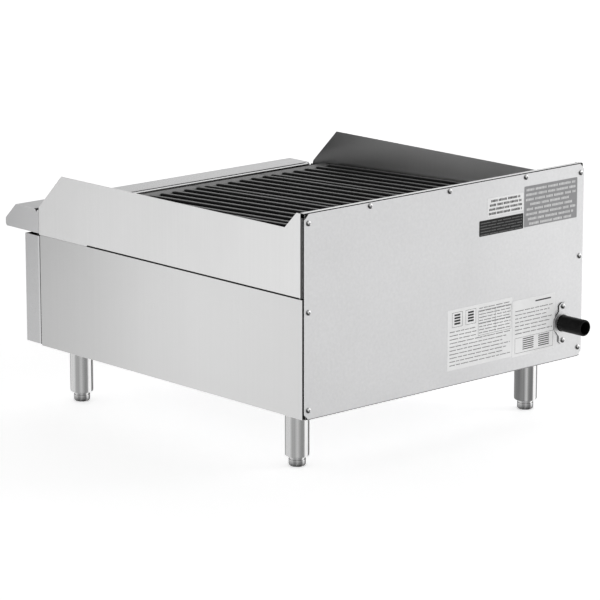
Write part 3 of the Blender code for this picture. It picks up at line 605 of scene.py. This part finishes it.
def shade(mesh, degrees=35.0):
    mesh.shade_smooth()
    mesh.set_sharp_from_angle(angle=math.radians(degrees))
    return mesh


def revolve(profile, steps=64):
    """A solid of revolution about local Z from (radius, height) points that start and end on it."""
    bm = bmesh.new()
    rings = []
    for radius, height in profile:
        if radius < 1e-7:
            rings.append([bm.verts.new((0.0, 0.0, height))])
            continue
        angles = (2 * math.pi * i / steps for i in range(steps))
        rings.append([
            bm.verts.new((radius * math.cos(a), radius * math.sin(a), height)) for a in angles
        ])
    for first, second in zip(rings, rings[1:]):
        for i in range(steps):
            j = (i + 1) % steps
            corners = [first[i % len(first)], first[j % len(first)]]
            corners += [second[j % len(second)], second[i % len(second)]]
            unique = list(dict.fromkeys(corners))
            if len(unique) > 2:
                bm.faces.new(unique)
    bmesh.ops.recalc_face_normals(bm, faces=bm.faces)
    return bm


def loft(sections):
    """A closed skin over a list of closed rings with equal numbers of points, ends capped."""
    bm = bmesh.new()
    rings = [[bm.verts.new(point) for point in section] for section in sections]
    count = len(rings[0])
    for first, second in zip(rings, rings[1:]):
        for i in range(count):
            j = (i + 1) % count
            bm.faces.new((first[i], first[j], second[j], second[i]))
    bm.faces.new(rings[0])
    bm.faces.new(rings[-1])
    bmesh.ops.recalc_face_normals(bm, faces=bm.faces)
    return bm


def slab(bm, low, high, material=0):
    """A closed box between two corners, added to bm."""
    made = bmesh.ops.create_cube(bm, size=1.0)["verts"]
    size = [h - l for l, h in zip(low, high)]
    middle = [(h + l) / 2 for l, h in zip(low, high)]
    bmesh.ops.scale(bm, vec=size, verts=made)
    bmesh.ops.translate(bm, vec=middle, verts=made)
    for face in {f for v in made for f in v.link_faces}:
        face.material_index = material


def rotated(degrees, axis):
    return Matrix.Rotation(math.radians(degrees), 4, axis)


def centre(node):
    low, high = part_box(node)
    return (low + high) / 2


# Grates. Along a grate, 0 is where its bars begin, and heights are from their top line.
BAR_COUNT = 6
BAR_PITCH = 26.2 * MM
BAR_HALF = 4.5 * MM
BAR_DEPTH = 17.0 * MM
CAST_WOBBLE = 0.12
GRATE_SLOPE = math.radians(2.53)
GRATE_WIDTH = 148.5 * MM
RIM_FRONT = -18.0 * MM
GRATE_REAR = 555.0 * MM
RIM_ROUNDING = 1.2 * MM
RIB_PLACES = (150, 280, 410)


def bar_section(x, y, top, rng):
    """One ring of a cast bar: a crowned, rounded top over sides that draw in."""
    wobble = rng.uniform(-CAST_WOBBLE, CAST_WOBBLE) * MM
    half = BAR_HALF + rng.uniform(-CAST_WOBBLE, CAST_WOBBLE) * MM
    left = [(-1.0, -1.9), (-0.93, -0.9), (-0.72, -0.28), (-0.35, -0.03)]
    crown = left + [(0.0, 0.0)] + [(-u, v) for u, v in reversed(left)]
    ring = [(-0.67, -BAR_DEPTH)] + [(u, top + v * MM) for u, v in crown] + [(0.67, -BAR_DEPTH)]
    return [(x + wobble + u * half, y, z) for u, z in ring]


def grate_rim(name, half_width, section):
    """A cross member of one (along, height) section in mm, a little smaller at its two ends."""
    inner = half_width - RIM_ROUNDING
    middle = [sum(point[i] for point in section) / len(section) for i in (0, 1)]
    rings = []
    for x, pull in ((-half_width, 0.9), (-inner, 1.0), (inner, 1.0), (half_width, 0.9)):
        drawn = [[m + (v - m) * pull for v, m in zip(point, middle)] for point in section]
        rings.append([(x, y * MM, z * MM) for y, z in drawn])
    return temporary(name, loft(rings))


def make_grate_mesh():
    rng = random.Random(11)
    places = [(4.0, -3.2), (6.0, -2.4), (9.0, -1.4), (12.5, -0.5), (16.0, -0.1)]
    places += [(16.0 + 24.0 * i, 0.0) for i in range(1, 23)] + [(549.0, -0.4)]
    others = []
    for index in range(BAR_COUNT):
        x = (index - (BAR_COUNT - 1) / 2) * BAR_PITCH
        sections = []
        for y, top in places:
            height = top * MM + rng.uniform(-0.08, 0.08) * MM
            sections.append(bar_section(x, y * MM, height, rng))
        others.append(temporary(f"bar_{index}", loft(sections)))
    half = GRATE_WIDTH / 2
    front = [(-18, -8.5), (-18, -4.5), (-17, -2.9), (-15, -2.1), (-10, -2.0), (4, -2.0)]
    front += [(10, -2.4), (13.2, -3.4), (14, -5), (14, -9), (13, -10), (-16.5, -10)]
    rear = [(541, -13), (541, -2), (542.5, -1), (553, -1), (555, -2.5), (555, -13)]
    rear += [(554, -14), (542, -14)]
    base = grate_rim("front_rim", half, front)
    others.append(grate_rim("rear_rim", half, rear))
    rib = [(-3, -20), (-4, -19), (-4, -14), (-3, -13), (3, -13), (4, -14), (4, -19), (3, -20)]
    for index, place in enumerate(RIB_PLACES):
        section = [(place + y, z) for y, z in rib]
        others.append(grate_rim(f"rib_{index}", half - 2 * MM, section))
    for name, place, top in (("front_seat", -4, -8), ("rear_seat", 548, -12)):
        seat = [(-5, -21), (-5, top), (5, top), (5, -21), (4, -22), (-4, -22)]
        section = [(place + y, z) for y, z in seat]
        others.append(grate_rim(name, half - 4 * MM, section))
    mesh = combined(base, others, "UNION")
    mesh.materials.clear()
    return shade(mesh, 40)


def add_grates():
    mesh = make_grate_mesh()
    for index in range(1, 5):
        node = f"grate_{index}"
        low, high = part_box(node)
        rise, run = math.sin(GRATE_SLOPE), math.cos(GRATE_SLOPE)
        origin = Vector((
            (low.x + high.x) / 2,
            low.y - RIM_FRONT * run - 2.0 * MM * rise,
            high.z - GRATE_REAR * rise + 1.0 * MM * run,
        ))
        matrix = Matrix.Translation(origin) @ Matrix.Rotation(GRATE_SLOPE, 4, "X")
        place_mesh(f"cast_grate_{index}", mesh, GRATE_IRON, node, [node], matrix)


add_grates()


# Screws
HEAD_RADIUS = 4.3 * MM
HEAD_RISE = 2.6 * MM
HEAD_BRIM = 0.35 * MM


def make_screw_mesh():
    """A domed pan head with a flat brim and a cross recess."""
    profile = [(0.0, HEAD_RISE)]
    for step in range(1, 9):
        angle = math.radians(11 * step)
        height = HEAD_BRIM + (HEAD_RISE - HEAD_BRIM) * math.cos(angle)
        profile.append((HEAD_RADIUS * math.sin(angle), height))
    profile += [(HEAD_RADIUS, 0.25 * MM), (HEAD_RADIUS - 0.15 * MM, 0.0), (0.0, 0.0)]
    base = temporary("screw_head", revolve(profile, 40))
    cutters = []
    for turn in (0, 90):
        bm = bmesh.new()
        slab(bm, (-2.2 * MM, -0.55 * MM, 0.7 * MM), (2.2 * MM, 0.55 * MM, 4 * MM))
        bmesh.ops.transform(bm, matrix=rotated(turn, "Z"), verts=bm.verts)
        cutter = temporary(f"recess_{turn}", bm)
        # The recess faces take the painted shade.
        cutter.data.materials.append(RECESS_SHADE)
        cutters.append(cutter)
    base.data.materials.append(ZINC)
    return shade(combined(base, cutters, "DIFFERENCE"), 30)


def add_screws():
    rng = random.Random(5)
    mesh = make_screw_mesh()
    names = [f"rear_screw_{i}" for i in range(1, 10)] + ["plate_screw_1", "plate_screw_2"]
    for name in names:
        low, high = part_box(name)
        spin = Matrix.Rotation(rng.uniform(0, math.pi / 2), 4, "Z")
        seat = ((low.x + high.x) / 2, high.y - HEAD_RISE, (low.z + high.z) / 2)
        matrix = Matrix.Translation(seat) @ rotated(-90, "X") @ spin
        place_mesh(f"head_of_{name}", mesh, ZINC, "chassis", [name], matrix)


add_screws()


# Stickers, printed with rows of plain bars
def paper(name, tint, rough, gloss=0.5):
    look = Look(name)
    fibres = look.noise(500.0, detail=3.0)
    slow = look.noise(30.0, detail=3.0)
    dark, light = scaled(tint, 0.93), scaled(tint, 1.05)
    colour = look.mix(look.span(slow, 0.0, 1.0, 0.3, 0.7), dark, light)
    look.set(base_color=colour, roughness=look.span(fibres, rough - 0.05, rough + 0.06))
    look.shader.inputs["Specular IOR Level"].default_value = gloss
    look.put(look.shader.inputs["Normal"], look.bump(fibres, 0.2, 0.03 * MM))
    return look.material


GREY_VINYL = paper("vinyl_grey", (0.245, 0.245, 0.25), 0.42)
PALE_VINYL = paper("vinyl_pale", grey(0.785), 0.40)
BLACK_VINYL = paper("vinyl_black", grey(0.010), 0.45, gloss=0.2)
PALE_INK = paper("ink_pale", grey(0.60), 0.5)
DARK_INK = paper("ink_dark", grey(0.012), 0.5, gloss=0.2)
DIM_INK = paper("ink_dim", grey(0.11), 0.5)
SOFT_INK = paper("ink_soft", grey(0.03), 0.5, gloss=0.2)

STICKER_FACE = REAR_FACE + 0.15 * MM
STICKER_CORNER = 1.2
INK_FACE = STICKER_FACE + 0.03 * MM
RULE = 0.45
BLOCK_GAP = 0.32


def sticker_base(bm, left, right, bottom, top):
    """A thin sheet with cut corners on the rear face, in mm."""
    cut = STICKER_CORNER
    outline = [(left + cut, bottom), (right - cut, bottom)]
    outline += [(right, bottom + cut), (right, top - cut)]
    outline += [(right - cut, top), (left + cut, top)]
    outline += [(left, top - cut), (left, bottom + cut)]
    faces_y = (REAR_FACE + 0.01 * MM, STICKER_FACE)
    rings = [[bm.verts.new((x * MM, y, z * MM)) for x, z in outline] for y in faces_y]
    count = len(outline)
    for i in range(count):
        j = (i + 1) % count
        bm.faces.new((rings[0][i], rings[0][j], rings[1][j], rings[1][i]))
    bm.faces.new(rings[0])
    bm.faces.new(rings[1])
    bmesh.ops.recalc_face_normals(bm, faces=bm.faces)


def ink(bm, x0, x1, z0, z1):
    """A printed block from x0 to x1 and z0 to z1, in mm."""
    low = (min(x0, x1) * MM, STICKER_FACE - 0.02 * MM, z0 * MM)
    slab(bm, low, (max(x0, x1) * MM, INK_FACE, z1 * MM), material=1)


def bar_row(bm, rng, start, end, z, height, word, gap, block):
    """A row of small blocks, grouped like words, running from start towards end along -X."""
    x = start
    while x > end + block:
        stop = max(x - rng.uniform(*word), end)
        while x > stop + 0.3 * block:
            width = block * rng.uniform(0.6, 1.1)
            rng.random()  # Keeps the order of the draws that follow.
            lift = rng.uniform(0.0, 0.12) * height
            ink(bm, x, max(x - width, stop), z, z + height - lift)
            x -= width + BLOCK_GAP * block
        x = stop - gap


def fine_rows(bm, rng, start, ends, top, pitch, word=(6, 20), gap=2.2):
    """Rows of small print, one for each end, whose tops start at top and go down by pitch."""
    for row, end in enumerate(ends):
        bar_row(bm, rng, start, end, top - row * pitch - 1.5, 1.4, word, gap, 1.3)


def grey_sticker(rng):
    bm = bmesh.new()
    sticker_base(bm, -289.0, -166.6, 327.0, 393.0)
    for row, margin in enumerate([5.0, 4.0, 4.0, 14.0, 6.0, 4.0, 9.0, 12.0]):
        z = 393.0 - 4.2 - 4.0 - row * 7.9
        bar_row(bm, rng, -166.6 - margin, -289.0 + margin, z, 4.0, (14, 30), 3.0, 2.6)
    new_piece("sticker_grey", bm, [GREY_VINYL, PALE_INK], "chassis")


def pale_sticker(rng):
    bm = bmesh.new()
    sticker_base(bm, -165.0, -84.0, 355.5, 384.7)
    for row, margin in enumerate([8.0, 5.0, 3.5, 3.0]):
        z = 384.7 - 3.0 - 3.8 - row * 6.7
        bar_row(bm, rng, -84.0 - margin, -165.0 + margin, z, 3.8, (9, 22), 2.0, 2.4)
    new_piece("sticker_pale", bm, [PALE_VINYL, DARK_INK], "chassis")


def black_sticker(rng):
    bm = bmesh.new()
    sticker_base(bm, -165.0, -66.0, 326.0, 351.0)
    for row in range(5):
        z = 351.0 - 3.6 - row * 4.6
        bar_row(bm, rng, -69.0, -162.0, z - 1.6, 1.6, (9, 24), 2.0, 1.7)
    new_piece("sticker_black", bm, [BLACK_VINYL, DIM_INK], "chassis")


def data_sticker(rng):
    """Two boxes of stacked bars, a ruled table and small print below."""
    bm = bmesh.new()
    sticker_base(bm, -143.0, 2.0, 120.0, 217.6)
    for x in (-8.0, -38.0):
        for z in (212.0, 188.6):
            ink(bm, x, x - 23.0, z, z + 0.5)
        for edge in (x, x - 22.5):
            ink(bm, edge, edge - 0.5, 188.6, 212.5)
        for step in range(4):
            ink(bm, x - 5.0, x - 18.0, 192.6 + step * 4.6, 195.6 + step * 4.6)
    fine_rows(bm, rng, -68.0, [-139.0] * 9, 211.5, 5.0, (6, 18), 2.0)
    for z in (206.5, 186.5, 166.6):
        ink(bm, -66.0, -141.0, z, z + RULE)
    for x in (-66.0, -104.0, -140.6):
        ink(bm, x, x - RULE, 166.6, 206.5)
    ends = [-62.0] * 3 + [-139.0 + 9 * (row % 3) for row in range(3, 10)]
    fine_rows(bm, rng, -3.0, ends, 182.5, 6.0)
    new_piece("sticker_data", bm, [PALE_VINYL, SOFT_INK], "chassis")


def side_data_sticker(rng):
    """Small print over a ruled box with two stacks of bars."""
    bm = bmesh.new()
    sticker_base(bm, -242.0, -144.0, 118.0, 210.0)
    ink(bm, -196.0, -232.0, 202.0, 204.2)
    fine_rows(bm, rng, -150.0, [-236.0 + 7 * (row % 3) for row in range(7)], 193.0, 6.2)
    for x in (-168.0, -204.0):
        for step in range(6):
            ink(bm, x, x - 25.0, 127.0 + step * 3.4, 128.6 + step * 3.4)
    for z in (122.6, 147.6):
        ink(bm, -150.0, -238.0, z, z + RULE)
    for x in (-150.0, -237.6):
        ink(bm, x, x - RULE, 122.6, 147.6)
    new_piece("sticker_data_side", bm, [PALE_VINYL, SOFT_INK], "chassis")


def add_stickers():
    rng = random.Random(3)
    for make in (grey_sticker, pale_sticker, black_sticker, data_sticker, side_data_sticker):
        make(rng)


add_stickers()


# Legs and levelling feet
LEG_EDGE = 3.2 * MM
LEG_BORE = 14.3 * MM
LEG_BORE_TOP = 78 * MM
THREAD_ROOT, THREAD_CREST = 4.4 * MM, 5.0 * MM
THREAD_PITCH = 1.25 * MM
FOOT_TOP = 45 * MM


def leg_profile(radius, bottom, top):
    """A tube with a rounded lower edge, open below for its foot."""
    profile = [(0.0, top), (radius, top), (radius, bottom + LEG_EDGE + 0.2 * MM)]
    for step in range(1, 6):
        angle = math.radians(18 * step)
        inset = LEG_EDGE * (1 - math.cos(angle))
        profile.append((radius - inset, bottom + LEG_EDGE * (1 - math.sin(angle))))
    profile += [(LEG_BORE + 0.3 * MM, bottom), (LEG_BORE, bottom + 0.4 * MM)]
    return profile + [(LEG_BORE, LEG_BORE_TOP), (0.0, LEG_BORE_TOP)]


def foot_profile(radius, top):
    """A threaded stud over a plain barrel with a groove and a rounded sole."""
    profile = [(0.0, top)]
    z = top
    while z - THREAD_PITCH > FOOT_TOP + 0.5 * MM:
        profile += [(THREAD_ROOT, z), (THREAD_CREST, z - 0.6 * MM)]
        z -= THREAD_PITCH
    profile += [(THREAD_ROOT, FOOT_TOP), (radius, FOOT_TOP)]
    insets = [(0.0, 13.6), (0.8, 13.0), (0.8, 11.8), (0.0, 11.2), (0.0, 4.0)]
    insets += [(0.3, 2.6), (1.2, 1.1), (2.6, 0.25), (3.6, 0.0)]
    profile += [(radius - inset * MM, height * MM) for inset, height in insets]
    return profile + [(0.0, 0.0)]


def add_legs():
    for end in ("front", "rear"):
        for side in ("left", "right"):
            leg, foot = f"{end}_{side}_leg", f"{end}_{side}_foot"
            low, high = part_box(leg)
            middle = centre(leg)
            matrix = Matrix.Translation((middle.x, middle.y, 0.0))
            bm = revolve(leg_profile((high.x - low.x) / 2, low.z, high.z), 72)
            # The rear left leg takes the darker painted reflections.
            metal = DARK_REFLECTION_LEG_METAL if leg == "rear_left_leg" else LEG_METAL
            name = f"tube_of_{leg}"
            piece = new_piece(name, bm, metal, "chassis", [leg], matrix)
            shade(piece.data)

            low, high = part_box(foot)
            bm = revolve(foot_profile((high.x - low.x) / 2, high.z), 64)
            name = f"shoe_of_{foot}"
            piece = new_piece(name, bm, FOOT_METAL, foot, [foot], matrix)
            shade(piece.data)


add_legs()


# Gas inlet
PIPE_BORE = 10.45 * MM
PIPE_FLOOR = 3 * MM
PLATE_HOLE = 14.2 * MM
PLATE_CORNER = 0.25


def add_inlet_pipe():
    low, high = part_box("gas_inlet_pipe")
    radius, length = (high.x - low.x) / 2, high.y - low.y
    profile = [(0.0, 0.0), (radius, 0.0), (radius, length - 2.4 * MM)]
    profile += [(radius - 0.35 * MM, length - 1.2 * MM), (radius - 1.1 * MM, length - 0.3 * MM)]
    profile += [(radius - 1.9 * MM, length), (PIPE_BORE + 0.3 * MM, length)]
    profile += [(PIPE_BORE, length - 0.5 * MM), (PIPE_BORE, PIPE_FLOOR), (0.0, PIPE_FLOOR)]
    inner_end = ((low.x + high.x) / 2, low.y, (low.z + high.z) / 2)
    matrix = Matrix.Translation(inner_end) @ rotated(-90, "X")
    piece = new_piece(
        "black_inlet_pipe", revolve(profile), BLACK_PIPE, "chassis",
        ["gas_inlet_pipe"], matrix,
    )
    shade(piece.data, 30)


def add_retaining_plate():
    """A flat plate with two pointed ears and a round hole, its side faces darkened."""
    middle = centre("inlet_plate")
    low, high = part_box("inlet_plate")
    upper = [(4.0, 34.0), (8.7, 30.0), (8.7, 20.5), (19.6, 8.2)]
    right = upper + [(x, -z) for x, z in reversed(upper)]
    outline = right + [(-x, z) for x, z in reversed(right)]
    sections = []
    for y, inset in ((low.y, 0.0), (high.y - PLATE_CORNER * MM, 0.0), (high.y, PLATE_CORNER)):
        sections.append([
            (
                middle.x + (x - math.copysign(inset, x)) * MM,
                y,
                middle.z + (z - math.copysign(inset, z)) * MM,
            )
            for x, z in outline
        ])
    bm = loft(sections)
    for face in bm.faces:
        # The plate's side faces take the darker colour.
        face.material_index = 1 if abs(face.normal.y) < 0.3 else 0
    plate = temporary("plate_blank", bm)
    plate.data.materials.append(REAR_SHEET)
    plate.data.materials.append(DARK_PLATE_EDGE)
    reach = 6 * MM
    profile = [(0, -reach), (PLATE_HOLE, -reach), (PLATE_HOLE, reach), (0, reach)]
    hole = temporary("plate_hole", revolve(profile, 48))
    hole.matrix_world = Matrix.Translation(middle) @ rotated(-90, "X")
    mesh = combined(plate, [hole], "DIFFERENCE")
    mesh.set_sharp_from_angle(angle=math.radians(30))
    place_mesh("retaining_plate", mesh, REAR_SHEET, "chassis", ["inlet_plate"])


add_inlet_pipe()
add_retaining_plate()


# Knobs
GROOVE_COUNT = 24
GROOVE_RADIUS = 1.1 * MM
GROOVE_CIRCLE = 24.6 * MM
GRIP_POINTS = 40
DIAL_STEPS = 28
DIAL_START, DIAL_SWEEP = 110, 80
DIAL_RADIUS = 28.0
OFF_DOT_RADIUS = 1.7 * MM


def grip_ring(z, half_x, half_y):
    """One rounded oblong ring of the bar grip, in mm."""
    ring = []
    for i in range(GRIP_POINTS):
        angle = 2 * math.pi * (i + 0.5) / GRIP_POINTS
        c, s = math.cos(angle), math.sin(angle)
        x = math.copysign(abs(c) ** 0.45, c) * half_x
        y = math.copysign(abs(s) ** 0.30, s) * half_y
        ring.append((x * MM, y * MM, z * MM))
    return ring


def make_knob_mesh():
    """A skirted knob with a grooved rim and a rounded bar grip, along local Z."""
    profile = [(0.0, 0.0), (23.6, 0.0), (24.0, 0.5), (24.0, 4.0), (23.4, 5.0), (20.0, 6.2)]
    profile += [(18.4, 7.4), (17.6, 10.0), (17.2, 15.0), (16.8, 17.2), (15.6, 18.6)]
    profile += [(13.0, 19.4), (0.0, 19.8)]
    body = temporary("knob_body", revolve([(r * MM, z * MM) for r, z in profile], 96))
    levels = [(6, 6.6, 22.4), (20, 6.2, 21.8), (29, 5.6, 20.8), (31.8, 5.0, 20.2)]
    levels += [(32.8, 4.0, 19.2)]
    grip = temporary("knob_grip", loft([grip_ring(*level) for level in levels]))
    start, stop = 0.8 * MM, 9 * MM
    profile = [(0, start), (GROOVE_RADIUS, start), (GROOVE_RADIUS, stop), (0, stop)]
    cutters = []
    for i in range(GROOVE_COUNT):
        angle = 2 * math.pi * i / GROOVE_COUNT
        groove = temporary(f"groove_{i}", revolve(profile, 10))
        place = (GROOVE_CIRCLE * math.cos(angle), GROOVE_CIRCLE * math.sin(angle), 0)
        groove.matrix_world = Matrix.Translation(place)
        cutters.append(groove)
    mesh = combined(body, cutters, "DIFFERENCE")
    mesh = combined(linked("knob_grooved", mesh), [grip], "UNION")
    mesh.materials.clear()
    return shade(mesh)


def add_knobs():
    mesh = make_knob_mesh()
    for side in ("left", "right"):
        node = f"{side}_knob"
        low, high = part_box(node)
        x, z = (low.x + high.x) / 2, (low.z + high.z) / 2
        matrix = Matrix.Translation((x, high.y, z)) @ rotated(90, "X")
        place_mesh(f"moulded_{node}", mesh, PHENOLIC, node, [node], matrix)
        bm = bmesh.new()
        slab(bm, (-0.9 * MM, 4 * MM, 32.0 * MM), (0.9 * MM, 18.8 * MM, 33.0 * MM))
        bmesh.ops.bevel(bm, geom=bm.edges, offset=0.25 * MM, segments=2, affect="EDGES")
        new_piece(f"{side}_pointer", bm, PALE_INK, node, matrix=matrix)
        add_dial(side, x, z)


def add_dial(side, x, z):
    """A printed scale on the panel: an off dot and a wedge that widens with the flame."""
    panel_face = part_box("control_panel")[0].y
    sections = []
    for i in range(DIAL_STEPS + 1):
        part = i / DIAL_STEPS
        angle = math.radians(DIAL_START + DIAL_SWEEP * part)
        outer = DIAL_RADIUS + 0.4 + 3.2 * part
        corners = ((DIAL_RADIUS, 0.02), (outer, 0.02), (outer, -0.12), (DIAL_RADIUS, -0.12))
        sections.append([
            (x + r * MM * math.cos(angle), panel_face + y * MM, z + r * MM * math.sin(angle))
            for r, y in corners
        ])
    bm = loft(sections)
    dot = bmesh.ops.create_cone(
        bm, cap_ends=True, segments=24, depth=0.14 * MM,
        radius1=OFF_DOT_RADIUS, radius2=OFF_DOT_RADIUS,
    )
    where = Matrix.Translation((x, panel_face - 0.05 * MM, z + 30 * MM))
    bmesh.ops.transform(bm, matrix=where @ rotated(90, "X"), verts=dot["verts"])
    bmesh.ops.recalc_face_normals(bm, faces=bm.faces)
    new_piece(f"{side}_dial_marks", bm, DARK_INK, "chassis")


add_knobs()


# Stage: a pale floor and soft studio light.
FLOOR_RADIUS = 30.0
FLOOR_GLOW = 0.55
SKY_STRENGTH = 0.86
SKY_LOW, SKY_HIGH = (0.42, 1.0), (0.80, 0.30)
FLAG_Y = -1.15
FLAG_LEFT, FLAG_RIGHT, FLAG_TOP = -1.3, 0.80, 0.35


def add_stage_piece(name, bm, look):
    """A part of the studio, which isn't part of the object."""
    obj = linked(name, mesh_of(name, bm))
    obj.data.materials.append(look.material)
    return obj


def add_floor():
    bm = bmesh.new()
    bmesh.ops.create_circle(bm, cap_ends=True, radius=FLOOR_RADIUS, segments=64)
    look = Look("floor_pale")
    haze = look.noise(0.8, detail=2.0)
    look.set(base_color=grey(0.90), roughness=look.span(haze, 0.85, 0.95))
    look.shader.inputs["Emission Color"].default_value = (1.0, 1.0, 1.0, 1.0)
    look.shader.inputs["Emission Strength"].default_value = FLOOR_GLOW
    add_stage_piece("studio_floor", bm, look)


def add_flag():
    """A dark card in front of the unit that only the metal's reflections see."""
    bm = bmesh.new()
    corners = [(FLAG_LEFT, 0.0), (FLAG_RIGHT, 0.0), (FLAG_RIGHT, FLAG_TOP), (FLAG_LEFT, FLAG_TOP)]
    bm.faces.new([bm.verts.new((x, FLAG_Y, z)) for x, z in corners])
    look = Look("flag_dark")
    look.set(base_color=grey(0.03), roughness=0.9)
    flag = add_stage_piece("studio_flag", bm, look)
    flag.visible_camera = False
    flag.visible_diffuse = False
    flag.visible_shadow = False


def add_softbox(name, where, aim, size, power):
    data = bpy.data.lights.new(name, "AREA")
    data.shape = "RECTANGLE"
    data.size, data.size_y = size
    data.energy = power
    light = linked(name, data)
    light.location = where
    light.rotation_euler = (Vector(aim) - Vector(where)).to_track_quat("-Z", "Y").to_euler()


def add_world():
    """A sky that is bright to the sides and dims overhead."""
    world = bpy.data.worlds.new("studio")
    bpy.context.scene.world = world
    world.use_nodes = True
    tree = world.node_tree
    sky = tree.nodes["Background"]
    direction = tree.nodes.new("ShaderNodeTexCoord").outputs["Generated"]
    split = tree.nodes.new("ShaderNodeSeparateXYZ")
    tree.links.new(direction, split.inputs[0])
    height = tree.nodes.new("ShaderNodeValToRGB")
    tree.links.new(split.outputs["Z"], height.inputs["Fac"])
    height.color_ramp.interpolation = "EASE"
    for stop, (place, level) in zip(height.color_ramp.elements, (SKY_LOW, SKY_HIGH)):
        stop.position, stop.color = place, (*grey(level), 1.0)
    tree.links.new(height.outputs["Color"], sky.inputs["Color"])
    sky.inputs["Strength"].default_value = SKY_STRENGTH


add_flag()
add_floor()
add_world()
add_softbox("key", (-1.5, 1.5, 1.0), (-0.2, 0.3, 0.25), (0.8, 0.8), 5.0)
add_softbox("back", (-2.8, -3.2, 3.5), (-2.2, -2.6, 0.0), (4.0, 4.0), 30.0)
bpy.context.scene.view_settings.view_transform = "Standard"
